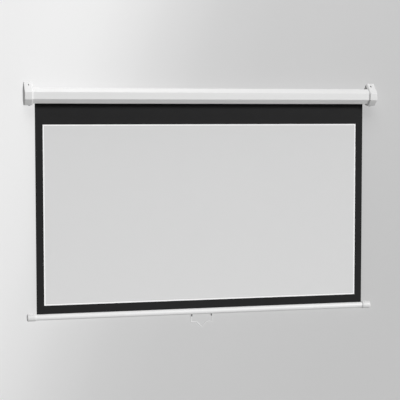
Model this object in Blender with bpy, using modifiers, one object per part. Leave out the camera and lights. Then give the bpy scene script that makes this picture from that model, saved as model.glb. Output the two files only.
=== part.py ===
"""Pull-down projector screen with a spring roller, hung on a wall.

Lengths are in metres and angles in degrees. +X runs along the case, +Y into
the wall and +Z up. The origin lies on the wall, midway between the two wall
screws that the end caps hang on.
"""

from math import atan2, cos, degrees, pi, radians, sin, tan

import bmesh
import bpy
from mathutils import Matrix, Vector

# Cloth
PICTURE_WIDTH = 1.336
PICTURE_HEIGHT = 0.7336
SIDE_BORDER = 0.030
BOTTOM_BORDER = 0.0333
TOP_DROP = 0.0835
CLOTH_THICKNESS = 0.0004
WRAPS_LEFT_ON = 2

# Roller
ROLLER_RADIUS = 0.0175
ROLLER_WALL = 0.001
ROLLER_PAST_CLOTH = 0.006
PLUG_DEPTH = 0.030
FLANGE_THICKNESS = 0.003
IDLE_PIN_RADIUS = 0.004
IDLE_PIN_IN_PLUG = 0.014

# Case
CASE_SIZE = 0.062
CASE_CHAMFER = 0.017
CASE_WALL = 0.001
CASE_BEND = 0.002
SLOT_WIDTH = 0.0112
LIP_HEIGHT = 0.005
LIP_BEND = 0.0012
CASE_TO_WALL = 0.009
CASE_IN_CAP = 0.022
CLOTH_TO_CAP = 0.010

# End caps
CAP_LENGTH = 0.0355
CAP_WALL = 0.0025
CAP_CORNER = 0.0025
CAP_EDGE = 0.0012
CAP_PAST_FRONT = 0.005
CAP_PAST_BOTTOM = 0.0073
CAP_CHAMFER = 0.023
GABLE_HEIGHT = 0.0237
GABLE_PEAK_WIDTH = 0.007
GABLE_PEAK_TO_WALL = 0.0315
HANG_ABOVE_ROLLER = 0.0187
KEYHOLE_HEAD_RADIUS = 0.0048
KEYHOLE_SLOT_WIDTH = 0.0046
KEYHOLE_DROP = 0.0100
EYE_RADIUS = 0.004
EYE_BELOW_PEAK = 0.012
EYE_WALL = 0.002

# Bracket plates and screws
PLATE_THICKNESS = 0.002
PLATE_SCREW_TO_EDGE = 0.009
PLATE_SCREW_RADIUS = 0.0015
PLATE_SCREW_HEAD_RADIUS = 0.003
PLATE_SCREW_HEAD = 0.0018
PLATE_SCREW_LENGTH = 0.008
BOSS_WALL = 0.0022
CAP_SCREW_RADIUS = 0.00175
CAP_SCREW_HEAD_RADIUS = 0.0035
CAP_SCREW_HEAD = 0.0022
CAP_SCREW_LENGTH = 0.013
CAP_SCREW_INSET = 0.014
HEAD_DOME_SHARE = 0.35

# Bushes
BUSH_WALL = 0.0027
SHAFT_BUSH_WALL = 0.002
BUSH_FLANGE_RADIUS = 0.009
BUSH_FLANGE = 0.0015

# Spring and its rod
ROD_RADIUS = 0.004
ROD_LENGTH = 0.300
ROD_PAST_ANCHOR = 0.003
TANG_THICKNESS = 0.0044
TANG_LENGTH = 0.006
ANCHOR_RADIUS = 0.0145
ANCHOR_LENGTH = 0.012
SPRING_TURNS = 48
SPRING_RADIUS = 0.012
SPRING_WIRE_RADIUS = 0.001
SPRING_LEG = 0.002
SPRING_STEPS = 8

# Ratchet
COLLAR_RADIUS = 0.008
COLLAR_THICKNESS = 0.004
NOTCH_DEPTH = 0.0022
NOTCH_WIDTH = 0.0044
NOSE_ANGLE = 60
NOSE_WIDTH = 0.0024
PAWL_PIVOT_RADIUS = 0.0125
PAWL_EYE_RADIUS = 0.0028
PAWL_ARM = 0.003
PAWL_BOW = 0.0028
PAWL_ELBOW_ANGLE = 34
PAWL_EYE_ANGLES = (-190, 20)
PAWL_PIN_RADIUS = 0.0015
PAWL_PIN_HEAD_RADIUS = 0.0026
PAWL_PIN_HEAD = 0.0012
PAWL_PIN_IN_FLANGE = 0.0027

# Hem bar
BAR_RADIUS = 0.0125
BAR_WALL = 0.0012
BAR_SLOT = 0.003
BAR_CAP_RADIUS = 0.015
BAR_CAP_LENGTH = 0.0364
BAR_CAP_END_WALL = 0.0025
BAR_CAP_ROUNDING = 0.005
BAR_CAP_MOUTH_EDGE = 0.0006
BAR_CAP_PAST_CLOTH = 0.003
HEM_ROD_RADIUS = 0.002

# Pull handle, which hangs a little to the left of the bar's middle
HANDLE_WIRE_RADIUS = 0.0016
HANDLE_WIDTH = 0.0923
HANDLE_OFFSET = -0.01065
HANDLE_LEG = 0.0275
HANDLE_V_WIDTH = 0.043
HANDLE_V_DEPTH = 0.024
HANDLE_PIN = 0.008
HANDLE_BEND = 0.004
EAR_THICKNESS = 0.004
EAR_RADIUS = 0.0042
EAR_DROP = 0.0045
EAR_SPIGOT_RADIUS = 0.0017
EAR_SPIGOT_LENGTH = 0.0045

# Fit and mesh density
GAP = 0.0003
WELD = 0.000001
CUT_PAST = 0.001
TURN_STEPS = 32
BOSS_STEPS = 20
HOLE_STEPS = 16
MOUTH_STEPS = 14
EYE_STEPS = 10
HALF_ROUND_STEPS = 6
ROUNDING_STEPS = 4
CORNER_STEPS = 3
SMOOTH_BELOW = 35
BEVEL_ABOVE = 50
MARKER_SIZE = 0.02

# Places across the case, from the wall and from the hang screws
ROLLER_Y = -(CASE_TO_WALL + CASE_SIZE / 2)
ROLLER_Z = -HANG_ABOVE_ROLLER
WRAPS_THICKNESS = WRAPS_LEFT_ON * CLOTH_THICKNESS
CLOTH_RADIUS = ROLLER_RADIUS + WRAPS_THICKNESS + 2 * GAP + CLOTH_THICKNESS / 2
CLOTH_Y = ROLLER_Y + CLOTH_RADIUS
CASE_BOTTOM = ROLLER_Z - CASE_SIZE / 2
CASE_TOP = ROLLER_Z + CASE_SIZE / 2
CASE_FRONT = ROLLER_Y - CASE_SIZE / 2
CAP_FRONT = CASE_FRONT - CAP_PAST_FRONT
CAP_BOTTOM = CASE_BOTTOM - CAP_PAST_BOTTOM
CAP_TOP = CASE_TOP + GABLE_HEIGHT
PICTURE_TOP = CASE_BOTTOM - TOP_DROP
PICTURE_BOTTOM = PICTURE_TOP - PICTURE_HEIGHT
BAR_TOP = PICTURE_BOTTOM - BOTTOM_BORDER
BAR_Z = BAR_TOP - BAR_RADIUS

# The hem hangs in the bar just below the slot's two edges
HEM_RADIUS = HEM_ROD_RADIUS + GAP + CLOTH_THICKNESS
SLOT_EDGE_Z = BAR_Z + ((BAR_RADIUS - BAR_WALL) ** 2 - (BAR_SLOT / 2) ** 2) ** 0.5
HEM_Z = SLOT_EDGE_Z - ((HEM_RADIUS + GAP) ** 2 - (BAR_SLOT / 2) ** 2) ** 0.5

# Places along the case, from its middle
CLOTH_END = PICTURE_WIDTH / 2 + SIDE_BORDER
ROLLER_END = CLOTH_END + ROLLER_PAST_CLOTH
CAP_INNER = CLOTH_END + CLOTH_TO_CAP
CAP_OUTER = CAP_INNER + CAP_LENGTH
CAP_FLOOR = CAP_OUTER - CAP_WALL
CASE_END = CAP_INNER + CASE_IN_CAP
CAP_SCREW_X = CAP_INNER + CAP_SCREW_INSET
HANG_X = (CAP_INNER + CAP_OUTER) / 2
PLATE_INNER = CASE_END + GAP
PLATE_OUTER = PLATE_INNER + PLATE_THICKNESS
PLATE_SCREW_OFFSET = CASE_SIZE / 2 - PLATE_SCREW_TO_EDGE
FLANGE_INNER = ROLLER_END + GAP
FLANGE_OUTER = FLANGE_INNER + FLANGE_THICKNESS
PLUG_INNER = ROLLER_END - PLUG_DEPTH
COLLAR_INNER = FLANGE_OUTER + 2 * GAP
ROD_INNER = PLATE_INNER - GAP - ROD_LENGTH
ANCHOR_INNER = ROD_INNER + ROD_PAST_ANCHOR
ANCHOR_OUTER = ANCHOR_INNER + ANCHOR_LENGTH
BAR_CAP_INNER = CLOTH_END + BAR_CAP_PAST_CLOTH
BAR_CAP_OUTER = BAR_CAP_INNER + BAR_CAP_LENGTH
BAR_TUBE_END = BAR_CAP_OUTER - BAR_CAP_END_WALL - GAP

# Tang, as tall as its flats leave of the rod
TANG_HALF_HEIGHT = (ROD_RADIUS ** 2 - (TANG_THICKNESS / 2) ** 2) ** 0.5

# Handle
HANDLE_PIVOT_Z = BAR_Z - BAR_RADIUS - EAR_DROP
HANDLE_HALF = HANDLE_WIDTH / 2
EAR_OFFSET = HANDLE_HALF - HANDLE_WIRE_RADIUS - GAP - EAR_THICKNESS / 2

ALONG_X = (0, radians(90), 0)
ALONG_MINUS_X = (0, radians(-90), 0)
ALONG_Y = (radians(-90), 0, 0)
ALONG_Z = (0, 0, 0)
OUTLINE_ACROSS_X = (radians(90), 0, radians(90))
OUTLINE_ACROSS_Y = (radians(90), 0, 0)

SIDES = {"left": -1, "right": 1}


# Scene

def clear_scene():
    """Remove whatever the file opened with."""
    for item in list(bpy.data.objects):
        bpy.data.objects.remove(item, do_unlink=True)


def new_collection(name):
    """Make a collection under the scene's own."""
    made = bpy.data.collections.new(name)
    bpy.context.scene.collection.children.link(made)
    return made


def add_object(name, data, collection, location=(0, 0, 0), rotation=(0, 0, 0)):
    """Link an object with its origin at a place, turned by Euler angles."""
    made = bpy.data.objects.new(name, data)
    made.location = location
    made.rotation_euler = rotation
    collection.objects.link(made)
    return made


def add_frame(name, location, parent=None):
    """Make an empty on a joint's axis, for the pieces that move with it."""
    made = add_object(name, None, PARTS, location)
    made.empty_display_size = MARKER_SIZE
    if parent:
        carry(made, parent)
    return made


def carry(item, frame):
    """Hang an object on a frame without moving it."""
    item.location = Vector(item.location) - frame_place(frame)
    item.parent = frame


def frame_place(frame):
    """World place of an unturned frame, summed up its parents."""
    place = Vector(frame.location)
    if frame.parent:
        place += frame_place(frame.parent)
    return place


# Materials

def material(name, colour, roughness, metallic=0.0):
    """Make or reuse a plain Principled material."""
    made = bpy.data.materials.get(name)
    if made:
        return made
    made = bpy.data.materials.new(name)
    made.use_nodes = True
    shader = made.node_tree.nodes["Principled BSDF"]
    shader.inputs["Base Color"].default_value = (*colour, 1.0)
    shader.inputs["Roughness"].default_value = roughness
    shader.inputs["Metallic"].default_value = metallic
    made.diffuse_color = (*colour, 1.0)
    return made


def white_paint():
    return material("white_paint", (0.80, 0.80, 0.79), 0.42)


def white_plastic():
    return material("white_plastic", (0.78, 0.78, 0.77), 0.48)


def picture_cloth():
    return material("picture_cloth", (0.66, 0.66, 0.66), 0.90)


def black_cloth():
    return material("black_cloth", (0.018, 0.018, 0.019), 0.85)


def zinc_steel():
    return material("zinc_steel", (0.56, 0.57, 0.58), 0.35, 1.0)


def spring_steel():
    return material("spring_steel", (0.22, 0.22, 0.23), 0.40, 1.0)


def nylon():
    return material("nylon", (0.72, 0.70, 0.64), 0.55)


def grey_plastic():
    return material("grey_plastic", (0.16, 0.16, 0.16), 0.55)


def finish(item, coat):
    """Give an object one material and smooth its round faces."""
    item.data.materials.clear()
    item.data.materials.append(coat)
    item.data.shade_smooth()
    item.data.set_sharp_from_angle(angle=radians(SMOOTH_BELOW))
    return item


# Outlines, as lists of flat points that run counter-clockwise

def grown(outline, distance):
    """Move every side of a convex outline outwards, or inwards if negative."""
    moved = []
    for i, here in enumerate(outline):
        here = Vector(here)
        into = (here - Vector(outline[i - 1])).normalized()
        out_of = (Vector(outline[(i + 1) % len(outline)]) - here).normalized()
        side = Vector((into.y, -into.x))
        half = (side + Vector((out_of.y, -out_of.x))).normalized()
        moved.append(here + half * (distance / half.dot(side)))
    return moved


def rounded(points, radius, closed=True, steps=CORNER_STEPS):
    """Replace corners by arcs. An open line keeps its two ends."""
    result = []
    for i, here in enumerate(points):
        here = Vector(here)
        if not closed and i in (0, len(points) - 1):
            result.append(here)
            continue
        back = (Vector(points[i - 1]) - here).normalized()
        ahead = (Vector(points[(i + 1) % len(points)]) - here).normalized()
        half_angle = back.angle(ahead) / 2
        centre = here + (back + ahead).normalized() * (radius / sin(half_angle))
        spoke = here + back * (radius / tan(half_angle)) - centre
        sweep = pi - 2 * half_angle
        if back.x * ahead.y - back.y * ahead.x > 0:
            sweep = -sweep
        for k in range(steps + 1):
            result.append(centre + Matrix.Rotation(sweep * k / steps, 2) @ spoke)
    return result


def octagon(size, chamfer):
    """Square with cut corners, round the roller's axis, in Y and Z."""
    half = size / 2
    flat = half - chamfer
    corners = [(flat, -half), (half, -flat), (half, flat), (flat, half),
               (-flat, half), (-half, flat), (-half, -flat), (-flat, -half)]
    return [Vector((ROLLER_Y + y, ROLLER_Z + z)) for y, z in corners]


def cap_outline():
    """Cap seen along X: eight sides with a gable at the top, in Y and Z."""
    peak_front = -GABLE_PEAK_TO_WALL - GABLE_PEAK_WIDTH / 2
    peak_back = -GABLE_PEAK_TO_WALL + GABLE_PEAK_WIDTH / 2
    return [
        Vector((-CAP_CHAMFER, CAP_BOTTOM)),
        Vector((0, CAP_BOTTOM + CAP_CHAMFER)),
        Vector((0, CAP_TOP + peak_back)),
        Vector((peak_back, CAP_TOP)),
        Vector((peak_front, CAP_TOP)),
        Vector((CAP_FRONT, CAP_TOP - (peak_front - CAP_FRONT))),
        Vector((CAP_FRONT, CAP_BOTTOM + CAP_CHAMFER)),
        Vector((CAP_FRONT + CAP_CHAMFER, CAP_BOTTOM)),
    ]


def arc(centre, radius, start, end, steps):
    """Points on an arc, angles in degrees, both ends included."""
    points = []
    for k in range(steps + 1):
        angle = radians(start + (end - start) * k / steps)
        points.append(Vector(centre) + radius * Vector((cos(angle), sin(angle))))
    return points


# Shapes

def mesh_from_curve(shape, name, collection):
    """Replace a curve object by a mesh object with its caps welded on."""
    bpy.context.view_layer.update()
    graph = bpy.context.evaluated_depsgraph_get()
    mesh = bpy.data.meshes.new_from_object(shape.evaluated_get(graph))
    made = bmesh.new()
    made.from_mesh(mesh)
    bmesh.ops.remove_doubles(made, verts=made.verts, dist=WELD)
    bmesh.ops.recalc_face_normals(made, faces=made.faces)
    made.to_mesh(mesh)
    made.free()
    item = bpy.data.objects.new(name, mesh)
    item.matrix_world = shape.matrix_world
    collection.objects.link(item)
    bpy.data.objects.remove(shape, do_unlink=True)
    return item


def flat_curve(outlines, half_depth, fill, closed=True):
    """A 2D curve of one or more outlines, pulled out by half its depth."""
    curve = bpy.data.curves.new("outline", "CURVE")
    curve.dimensions = "2D"
    curve.fill_mode = fill
    curve.extrude = half_depth
    for outline in outlines:
        spline = curve.splines.new("POLY")
        spline.points.add(len(outline) - 1)
        for point, place in zip(spline.points, outline):
            point.co = (place[0], place[1], 0, 1)
        spline.use_cyclic_u = closed
    return curve


def prism_x(name, outlines, x_from, x_to, collection=None):
    """Outline in Y and Z, pulled along X. A second outline is a hole."""
    collection = collection or PARTS
    curve = flat_curve(outlines, abs(x_to - x_from) / 2, "BOTH")
    place = ((x_from + x_to) / 2, 0, 0)
    shape = add_object("outline", curve, collection, place, OUTLINE_ACROSS_X)
    return mesh_from_curve(shape, name, collection)


def prism_y(name, outlines, y_from, y_to, collection=None):
    """Outline in X and Z, pulled along Y."""
    collection = collection or PARTS
    curve = flat_curve(outlines, abs(y_to - y_from) / 2, "BOTH")
    place = (0, (y_from + y_to) / 2, 0)
    shape = add_object("outline", curve, collection, place, OUTLINE_ACROSS_Y)
    return mesh_from_curve(shape, name, collection)


def round_bar(name, radius, start, length, rotation, collection=None, steps=TURN_STEPS):
    """Plain cylinder from a start point along the turned Z axis."""
    collection = collection or PARTS
    made = bmesh.new()
    bmesh.ops.create_cone(made, cap_ends=True, segments=steps, radius1=radius,
                          radius2=radius, depth=length)
    bmesh.ops.translate(made, verts=made.verts, vec=(0, 0, length / 2))
    mesh = bpy.data.meshes.new(name)
    made.to_mesh(mesh)
    made.free()
    return add_object(name, mesh, collection, start, rotation)


def block(name, low, high, collection=None):
    """Box between two corners, with its origin at its middle."""
    collection = collection or PARTS
    low = Vector(low)
    high = Vector(high)
    made = bmesh.new()
    bmesh.ops.create_cube(made, size=1.0)
    bmesh.ops.scale(made, verts=made.verts, vec=high - low)
    mesh = bpy.data.meshes.new(name)
    made.to_mesh(mesh)
    made.free()
    return add_object(name, mesh, collection, (low + high) / 2)


def turned(name, profile, start, rotation, closed=False, steps=TURN_STEPS):
    """Turn a profile of (radius, height) points, listed from the top down."""
    mesh = bpy.data.meshes.new(name)
    count = len(profile)
    edges = [(i, i + 1) for i in range(count - 1)]
    if closed:
        edges.append((count - 1, 0))
    mesh.from_pydata([(r, 0, h) for r, h in profile], edges, [])
    item = add_object(name, mesh, PARTS, start, rotation)
    screw = item.modifiers.new("turn", "SCREW")
    screw.steps = steps
    screw.render_steps = steps
    screw.use_merge_vertices = True
    screw.merge_threshold = WELD
    return item


def ring(name, outer, inner, start, length, rotation, flange=None):
    """Turned sleeve. A flange is (radius, thickness) at the start."""
    profile = [(outer, length), (outer, 0), (inner, 0), (inner, length)]
    if flange:
        wide, thick = flange
        profile[1:2] = [(outer, thick), (wide, thick), (wide, 0)]
    return turned(name, profile, start, rotation, closed=True)


def wire(name, points, radius, resolution, collection=None):
    """Round wire through points, as a curve with filled caps."""
    collection = collection or PARTS
    curve = bpy.data.curves.new(name, "CURVE")
    curve.dimensions = "3D"
    curve.bevel_depth = radius
    curve.bevel_resolution = resolution
    curve.use_fill_caps = True
    spline = curve.splines.new("POLY")
    spline.points.add(len(points) - 1)
    for point, place in zip(spline.points, points):
        point.co = (*place, 1)
    shape = add_object("path", curve, collection)
    return mesh_from_curve(shape, name, collection)


def as_tool(item):
    """Mark an object as a cutter that is never built."""
    item.hide_render = True
    item.display_type = "WIRE"
    return item


def combine(item, tool, operation="DIFFERENCE"):
    """Cut or join with a tool object."""
    change = item.modifiers.new(tool.name, "BOOLEAN")
    change.operation = operation
    change.solver = "EXACT"
    change.object = as_tool(tool)
    return item


def soften(item, width, steps=2):
    """Round the sharp edges."""
    bevel = item.modifiers.new("edges", "BEVEL")
    bevel.width = width
    bevel.segments = steps
    bevel.limit_method = "ANGLE"
    bevel.angle_limit = radians(BEVEL_ABOVE)
    return item


def set_origin(item, place):
    """Move an unturned object's origin without moving its mesh."""
    shift = Vector(place) - item.matrix_world.translation
    turned_back = item.matrix_world.to_3x3().inverted() @ shift
    item.data.transform(Matrix.Translation(-turned_back))
    item.location = place


def pan_screw(name, head_radius, head_height, shank_radius, length, seat, rotation):
    """Pan-head screw whose shank points along the turned Z axis from its seat."""
    dome = HEAD_DOME_SHARE * head_height
    profile = [
        (0, length),
        (shank_radius, length),
        (shank_radius, 0),
        (head_radius, 0),
        (head_radius, -head_height + dome),
        (head_radius - dome, -head_height),
        (0, -head_height),
    ]
    return turned(name, profile, seat, rotation, steps=HOLE_STEPS)


# Case

def case_path():
    """Sheet line from the slot's back lip round the case to its front lip."""
    lip_back = CLOTH_Y + SLOT_WIDTH / 2
    lip_front = CLOTH_Y - SLOT_WIDTH / 2
    corners = octagon(CASE_SIZE, CASE_CHAMFER)
    upper = corners[1:7]
    front_corner = corners[7]
    back_corner = corners[0]

    def floor_height(y):
        return CASE_BOTTOM + max(0, y - back_corner.x)

    path = [Vector((lip_back, floor_height(lip_back) + LIP_HEIGHT)),
            Vector((lip_back, floor_height(lip_back)))]
    path += upper
    path.append(front_corner)
    if lip_front > back_corner.x + CASE_BEND:
        path.append(back_corner)
    path += [Vector((lip_front, floor_height(lip_front))),
             Vector((lip_front, floor_height(lip_front) + LIP_HEIGHT))]
    return path


def rounded_case_path():
    """Bend the lips tightly and the eight corners more softly."""
    path = case_path()
    soft = rounded(path, CASE_BEND, closed=False)
    tight = rounded(path, LIP_BEND, closed=False)
    first = 1 + (CORNER_STEPS + 1)
    return tight[:first] + soft[first:-first] + tight[-first:]


def build_case():
    curve = flat_curve([rounded_case_path()], CASE_END, "NONE", closed=False)
    shape = add_object("outline", curve, PARTS, rotation=OUTLINE_ACROSS_X)
    case = mesh_from_curve(shape, "case_shell", PARTS)
    wall = case.modifiers.new("wall", "SOLIDIFY")
    wall.thickness = CASE_WALL
    wall.offset = -1
    wall.use_even_offset = True
    for side in SIDES.values():
        hole = round_bar("case_screw_hole", CAP_SCREW_RADIUS + GAP,
                         (side * CAP_SCREW_X, ROLLER_Y, CAP_BOTTOM),
                         CAP_SCREW_LENGTH, ALONG_Z, CUTTERS, HOLE_STEPS)
        combine(case, hole)
    return finish(case, white_paint())


# End caps

def keyhole_outline(x):
    """Keyhole in X and Z: a round mouth for the screw's head, a slot above."""
    half = KEYHOLE_SLOT_WIDTH / 2
    mouth = (x, -KEYHOLE_DROP)
    opening = degrees(atan2(half, KEYHOLE_HEAD_RADIUS))
    lower = arc(mouth, KEYHOLE_HEAD_RADIUS, 90 + opening, 450 - opening, MOUTH_STEPS)
    upper = arc((x, 0), half, 0, 180, HALF_ROUND_STEPS)
    return lower + upper


def pocket(side):
    """Space between the cap's skin and the socket that takes the case."""
    reach = CAP_EDGE + CAP_WALL
    skin = rounded(grown(cap_outline(), -CAP_WALL), CAP_CORNER - CAP_EDGE)
    room = prism_x("cap_pocket", [skin], side * (CAP_INNER - reach), side * CAP_FLOOR, CUTTERS)
    rib = grown(octagon(CASE_SIZE, CASE_CHAMFER), GAP + CAP_WALL)
    core = prism_x("socket_rib", [rib], side * (CAP_INNER - 2 * reach),
                   side * CAP_OUTER, CUTTERS)
    combine(room, core)
    eye_z = CAP_TOP - EYE_BELOW_PEAK
    column = EYE_RADIUS + EYE_WALL
    ends = sorted((side * (HANG_X - column), side * CAP_OUTER))
    boss = block("eye_boss", (ends[0], CAP_FRONT, eye_z - column),
                 (ends[1], CUT_PAST, eye_z + column), CUTTERS)
    combine(room, boss)
    return room


def build_cap(name, side):
    """Moulded cap, open towards the case."""
    skin = rounded(cap_outline(), CAP_CORNER)
    cap = prism_x(name, [skin], side * CAP_INNER, side * CAP_OUTER)
    soften(cap, CAP_EDGE)
    combine(cap, pocket(side))
    socket = grown(octagon(CASE_SIZE, CASE_CHAMFER), GAP)
    combine(cap, prism_x("case_socket", [socket], side * (CAP_INNER - CAP_WALL),
                         side * CAP_FLOOR, CUTTERS))
    for offset in (-PLATE_SCREW_OFFSET, PLATE_SCREW_OFFSET):
        start = (side * (PLATE_OUTER + GAP), ROLLER_Y, ROLLER_Z + offset)
        depth = CAP_FLOOR + CAP_WALL / 2 - PLATE_OUTER - GAP
        turn = ALONG_X if side > 0 else ALONG_MINUS_X
        bore = PLATE_SCREW_RADIUS + GAP
        boss = round_bar("plate_boss", bore + BOSS_WALL, start, depth, turn, CUTTERS, BOSS_STEPS)
        combine(cap, boss, "UNION")
        mouth = (side * PLATE_OUTER, ROLLER_Y, ROLLER_Z + offset)
        combine(cap, round_bar("plate_boss_bore", bore, mouth, PLATE_SCREW_LENGTH,
                               turn, CUTTERS, HOLE_STEPS))
    combine(cap, prism_y("keyhole", [keyhole_outline(side * HANG_X)],
                         -CAP_WALL - GAP, CAP_WALL, CUTTERS))
    combine(cap, round_bar("hang_eye", EYE_RADIUS,
                           (side * HANG_X, CAP_FRONT, CAP_TOP - EYE_BELOW_PEAK),
                           -CAP_FRONT, ALONG_Y, CUTTERS, BOSS_STEPS))
    combine(cap, round_bar("cap_screw_hole", CAP_SCREW_RADIUS + GAP,
                           (side * CAP_SCREW_X, ROLLER_Y, CAP_BOTTOM - CAP_WALL),
                           CAP_SCREW_LENGTH, ALONG_Z, CUTTERS, HOLE_STEPS))
    return finish(cap, white_plastic())


def build_cap_screw(name, side):
    """Screw that goes up through the cap's floor into the case."""
    seat = (side * CAP_SCREW_X, ROLLER_Y, CAP_BOTTOM - GAP)
    screw = pan_screw(name, CAP_SCREW_HEAD_RADIUS, CAP_SCREW_HEAD, CAP_SCREW_RADIUS,
                      CAP_SCREW_LENGTH, seat, ALONG_Z)
    return finish(screw, zinc_steel())


def build_plate(name, side, opening):
    """Steel plate between the case's end and the cap's bosses."""
    outline = rounded(octagon(CASE_SIZE, CASE_CHAMFER), CASE_BEND)
    plate = prism_x(name, [outline], side * PLATE_INNER, side * PLATE_OUTER)
    combine(plate, opening)
    for offset in (-PLATE_SCREW_OFFSET, PLATE_SCREW_OFFSET):
        middle = side * (PLATE_INNER + PLATE_OUTER) / 2
        start = (middle - PLATE_THICKNESS, ROLLER_Y, ROLLER_Z + offset)
        combine(plate, round_bar("plate_screw_hole", PLATE_SCREW_RADIUS + GAP, start,
                                 2 * PLATE_THICKNESS, ALONG_X, CUTTERS, HOLE_STEPS))
    return finish(plate, zinc_steel())


def build_plate_screw(name, side, offset):
    """Screw that holds a bracket plate to one of the cap's bosses."""
    seat = (side * (PLATE_INNER - GAP), ROLLER_Y, ROLLER_Z + offset)
    turn = ALONG_X if side > 0 else ALONG_MINUS_X
    screw = pan_screw(name, PLATE_SCREW_HEAD_RADIUS, PLATE_SCREW_HEAD, PLATE_SCREW_RADIUS,
                      PLATE_SCREW_LENGTH, seat, turn)
    return finish(screw, zinc_steel())


def build_idle_bush():
    """Flanged bush in the left plate, in which the idle pin turns."""
    inner = IDLE_PIN_RADIUS + GAP
    start = (-(PLATE_INNER - GAP - BUSH_FLANGE), ROLLER_Y, ROLLER_Z)
    length = BUSH_FLANGE + GAP + PLATE_THICKNESS + BUSH_FLANGE
    bush = ring("idle_bush", inner + BUSH_WALL, inner, start, length, ALONG_MINUS_X,
                flange=(BUSH_FLANGE_RADIUS, BUSH_FLANGE))
    return finish(bush, nylon())


def bush_hole():
    """Round hole in the left plate for the idle bush."""
    radius = IDLE_PIN_RADIUS + GAP + BUSH_WALL + GAP
    start = (-(PLATE_INNER - PLATE_THICKNESS), ROLLER_Y, ROLLER_Z)
    return round_bar("bush_hole", radius, start, 3 * PLATE_THICKNESS, ALONG_MINUS_X, CUTTERS)


def tang_slot():
    """Upright slot in the right plate for the rod's flat tang."""
    half = Vector((PLATE_THICKNESS, TANG_THICKNESS / 2 + GAP, TANG_HALF_HEIGHT + GAP))
    middle = Vector(((PLATE_INNER + PLATE_OUTER) / 2, ROLLER_Y, ROLLER_Z))
    return block("tang_slot", middle - half, middle + half, CUTTERS)


# Spring and its rod

def build_spring_rod():
    """Fixed rod. Its flat tang keeps it from turning in the right plate."""
    start = (ROD_INNER, ROLLER_Y, ROLLER_Z)
    length = PLATE_INNER - GAP - ROD_INNER
    rod = round_bar("spring_rod", ROD_RADIUS, start, length, ALONG_X)
    half = Vector((TANG_LENGTH, TANG_THICKNESS / 2, TANG_HALF_HEIGHT))
    middle = Vector((PLATE_INNER, ROLLER_Y, ROLLER_Z))
    combine(rod, block("tang", middle - half, middle + half, CUTTERS), "UNION")
    return finish(rod, zinc_steel())


def build_collar():
    """Collar on the rod with two notches that the pawls drop into."""
    start = (COLLAR_INNER, ROLLER_Y, ROLLER_Z)
    collar = ring("ratchet_collar", COLLAR_RADIUS, ROD_RADIUS + GAP, start,
                  COLLAR_THICKNESS, ALONG_X)
    for turn in (0, 180):
        notch = block("notch",
                      (-COLLAR_THICKNESS, COLLAR_RADIUS - NOTCH_DEPTH, -NOTCH_WIDTH / 2),
                      (2 * COLLAR_THICKNESS, COLLAR_RADIUS + NOTCH_DEPTH, NOTCH_WIDTH / 2),
                      CUTTERS)
        angle = radians(NOSE_ANGLE + turn)
        spin = Matrix.Rotation(angle, 4, "X")
        notch.data.transform(spin @ Matrix.Translation(notch.location))
        notch.location = start
        combine(collar, notch)
    return finish(collar, spring_steel())


def build_anchor():
    """Plug on the rod's inner end that holds the spring's still end."""
    start = (ANCHOR_INNER, ROLLER_Y, ROLLER_Z)
    anchor = ring("spring_anchor", ANCHOR_RADIUS, ROD_RADIUS + GAP, start,
                  ANCHOR_LENGTH, ALONG_X)
    return finish(anchor, grey_plastic())


def spring_points():
    """Helix with a short straight leg along the rod at each end."""
    low = ANCHOR_OUTER + GAP
    high = PLUG_INNER - GAP
    bend = SPRING_LEG / CORNER_STEPS
    coil_low = low + SPRING_LEG
    coil_high = high - SPRING_LEG
    bend_rise = sum(bend * sin(radians(90 * k / CORNER_STEPS)) for k in range(1, CORNER_STEPS))
    rise = (coil_high - coil_low - 2 * bend_rise) / SPRING_TURNS
    helix = []
    for k in range(SPRING_TURNS * SPRING_STEPS + 1):
        turns = k / SPRING_STEPS
        helix.append((coil_low + bend_rise + rise * turns, 2 * pi * turns))
    before = []
    after = []
    x_low, turn_low = helix[0]
    x_high, turn_high = helix[-1]
    for k in range(1, CORNER_STEPS):
        slope = radians(90 * k / CORNER_STEPS)
        x_low -= bend * sin(slope)
        x_high += bend * sin(slope)
        turn_low -= bend * cos(slope) / SPRING_RADIUS
        turn_high += bend * cos(slope) / SPRING_RADIUS
        before.insert(0, (x_low, turn_low))
        after.append((x_high, turn_high))
    before.insert(0, (low, turn_low))
    after.append((high, turn_high))
    return [Vector((x, ROLLER_Y + SPRING_RADIUS * cos(turn), ROLLER_Z + SPRING_RADIUS * sin(turn)))
            for x, turn in before + helix + after]


def least_gap(points, wire_radius, turn):
    """Smallest clear distance between a coil and the next, by its points in a turn."""
    least = min((points[i] - points[j]).length
                for i in range(len(points))
                for j in range(i + turn // 2, min(i + 2 * turn, len(points))))
    return least - 2 * wire_radius


def build_spring():
    """Torsion spring between the anchor and the ratchet head."""
    points = spring_points()
    gap = least_gap(points, SPRING_WIRE_RADIUS, SPRING_STEPS)
    print("torsion_spring least gap mm", round(gap * 1000, 2))
    spring = wire("torsion_spring", points, SPRING_WIRE_RADIUS, 1)
    set_origin(spring, (PLUG_INNER, ROLLER_Y, ROLLER_Z))
    return finish(spring, spring_steel())


# Roller

def build_roller_tube():
    start = (-ROLLER_END, ROLLER_Y, ROLLER_Z)
    tube = ring("roller_tube", ROLLER_RADIUS, ROLLER_RADIUS - ROLLER_WALL, start,
                2 * ROLLER_END, ALONG_X)
    return finish(tube, zinc_steel())


def plug_profile(bore):
    """Plug that fills the tube's end, with a flange over the tube's edge."""
    body = ROLLER_RADIUS - ROLLER_WALL - GAP
    inner = -PLUG_DEPTH
    outer = GAP + FLANGE_THICKNESS
    return [(ROLLER_RADIUS, outer), (ROLLER_RADIUS, GAP), (body, GAP), (body, inner),
            (bore, inner), (bore, outer)]


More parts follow.
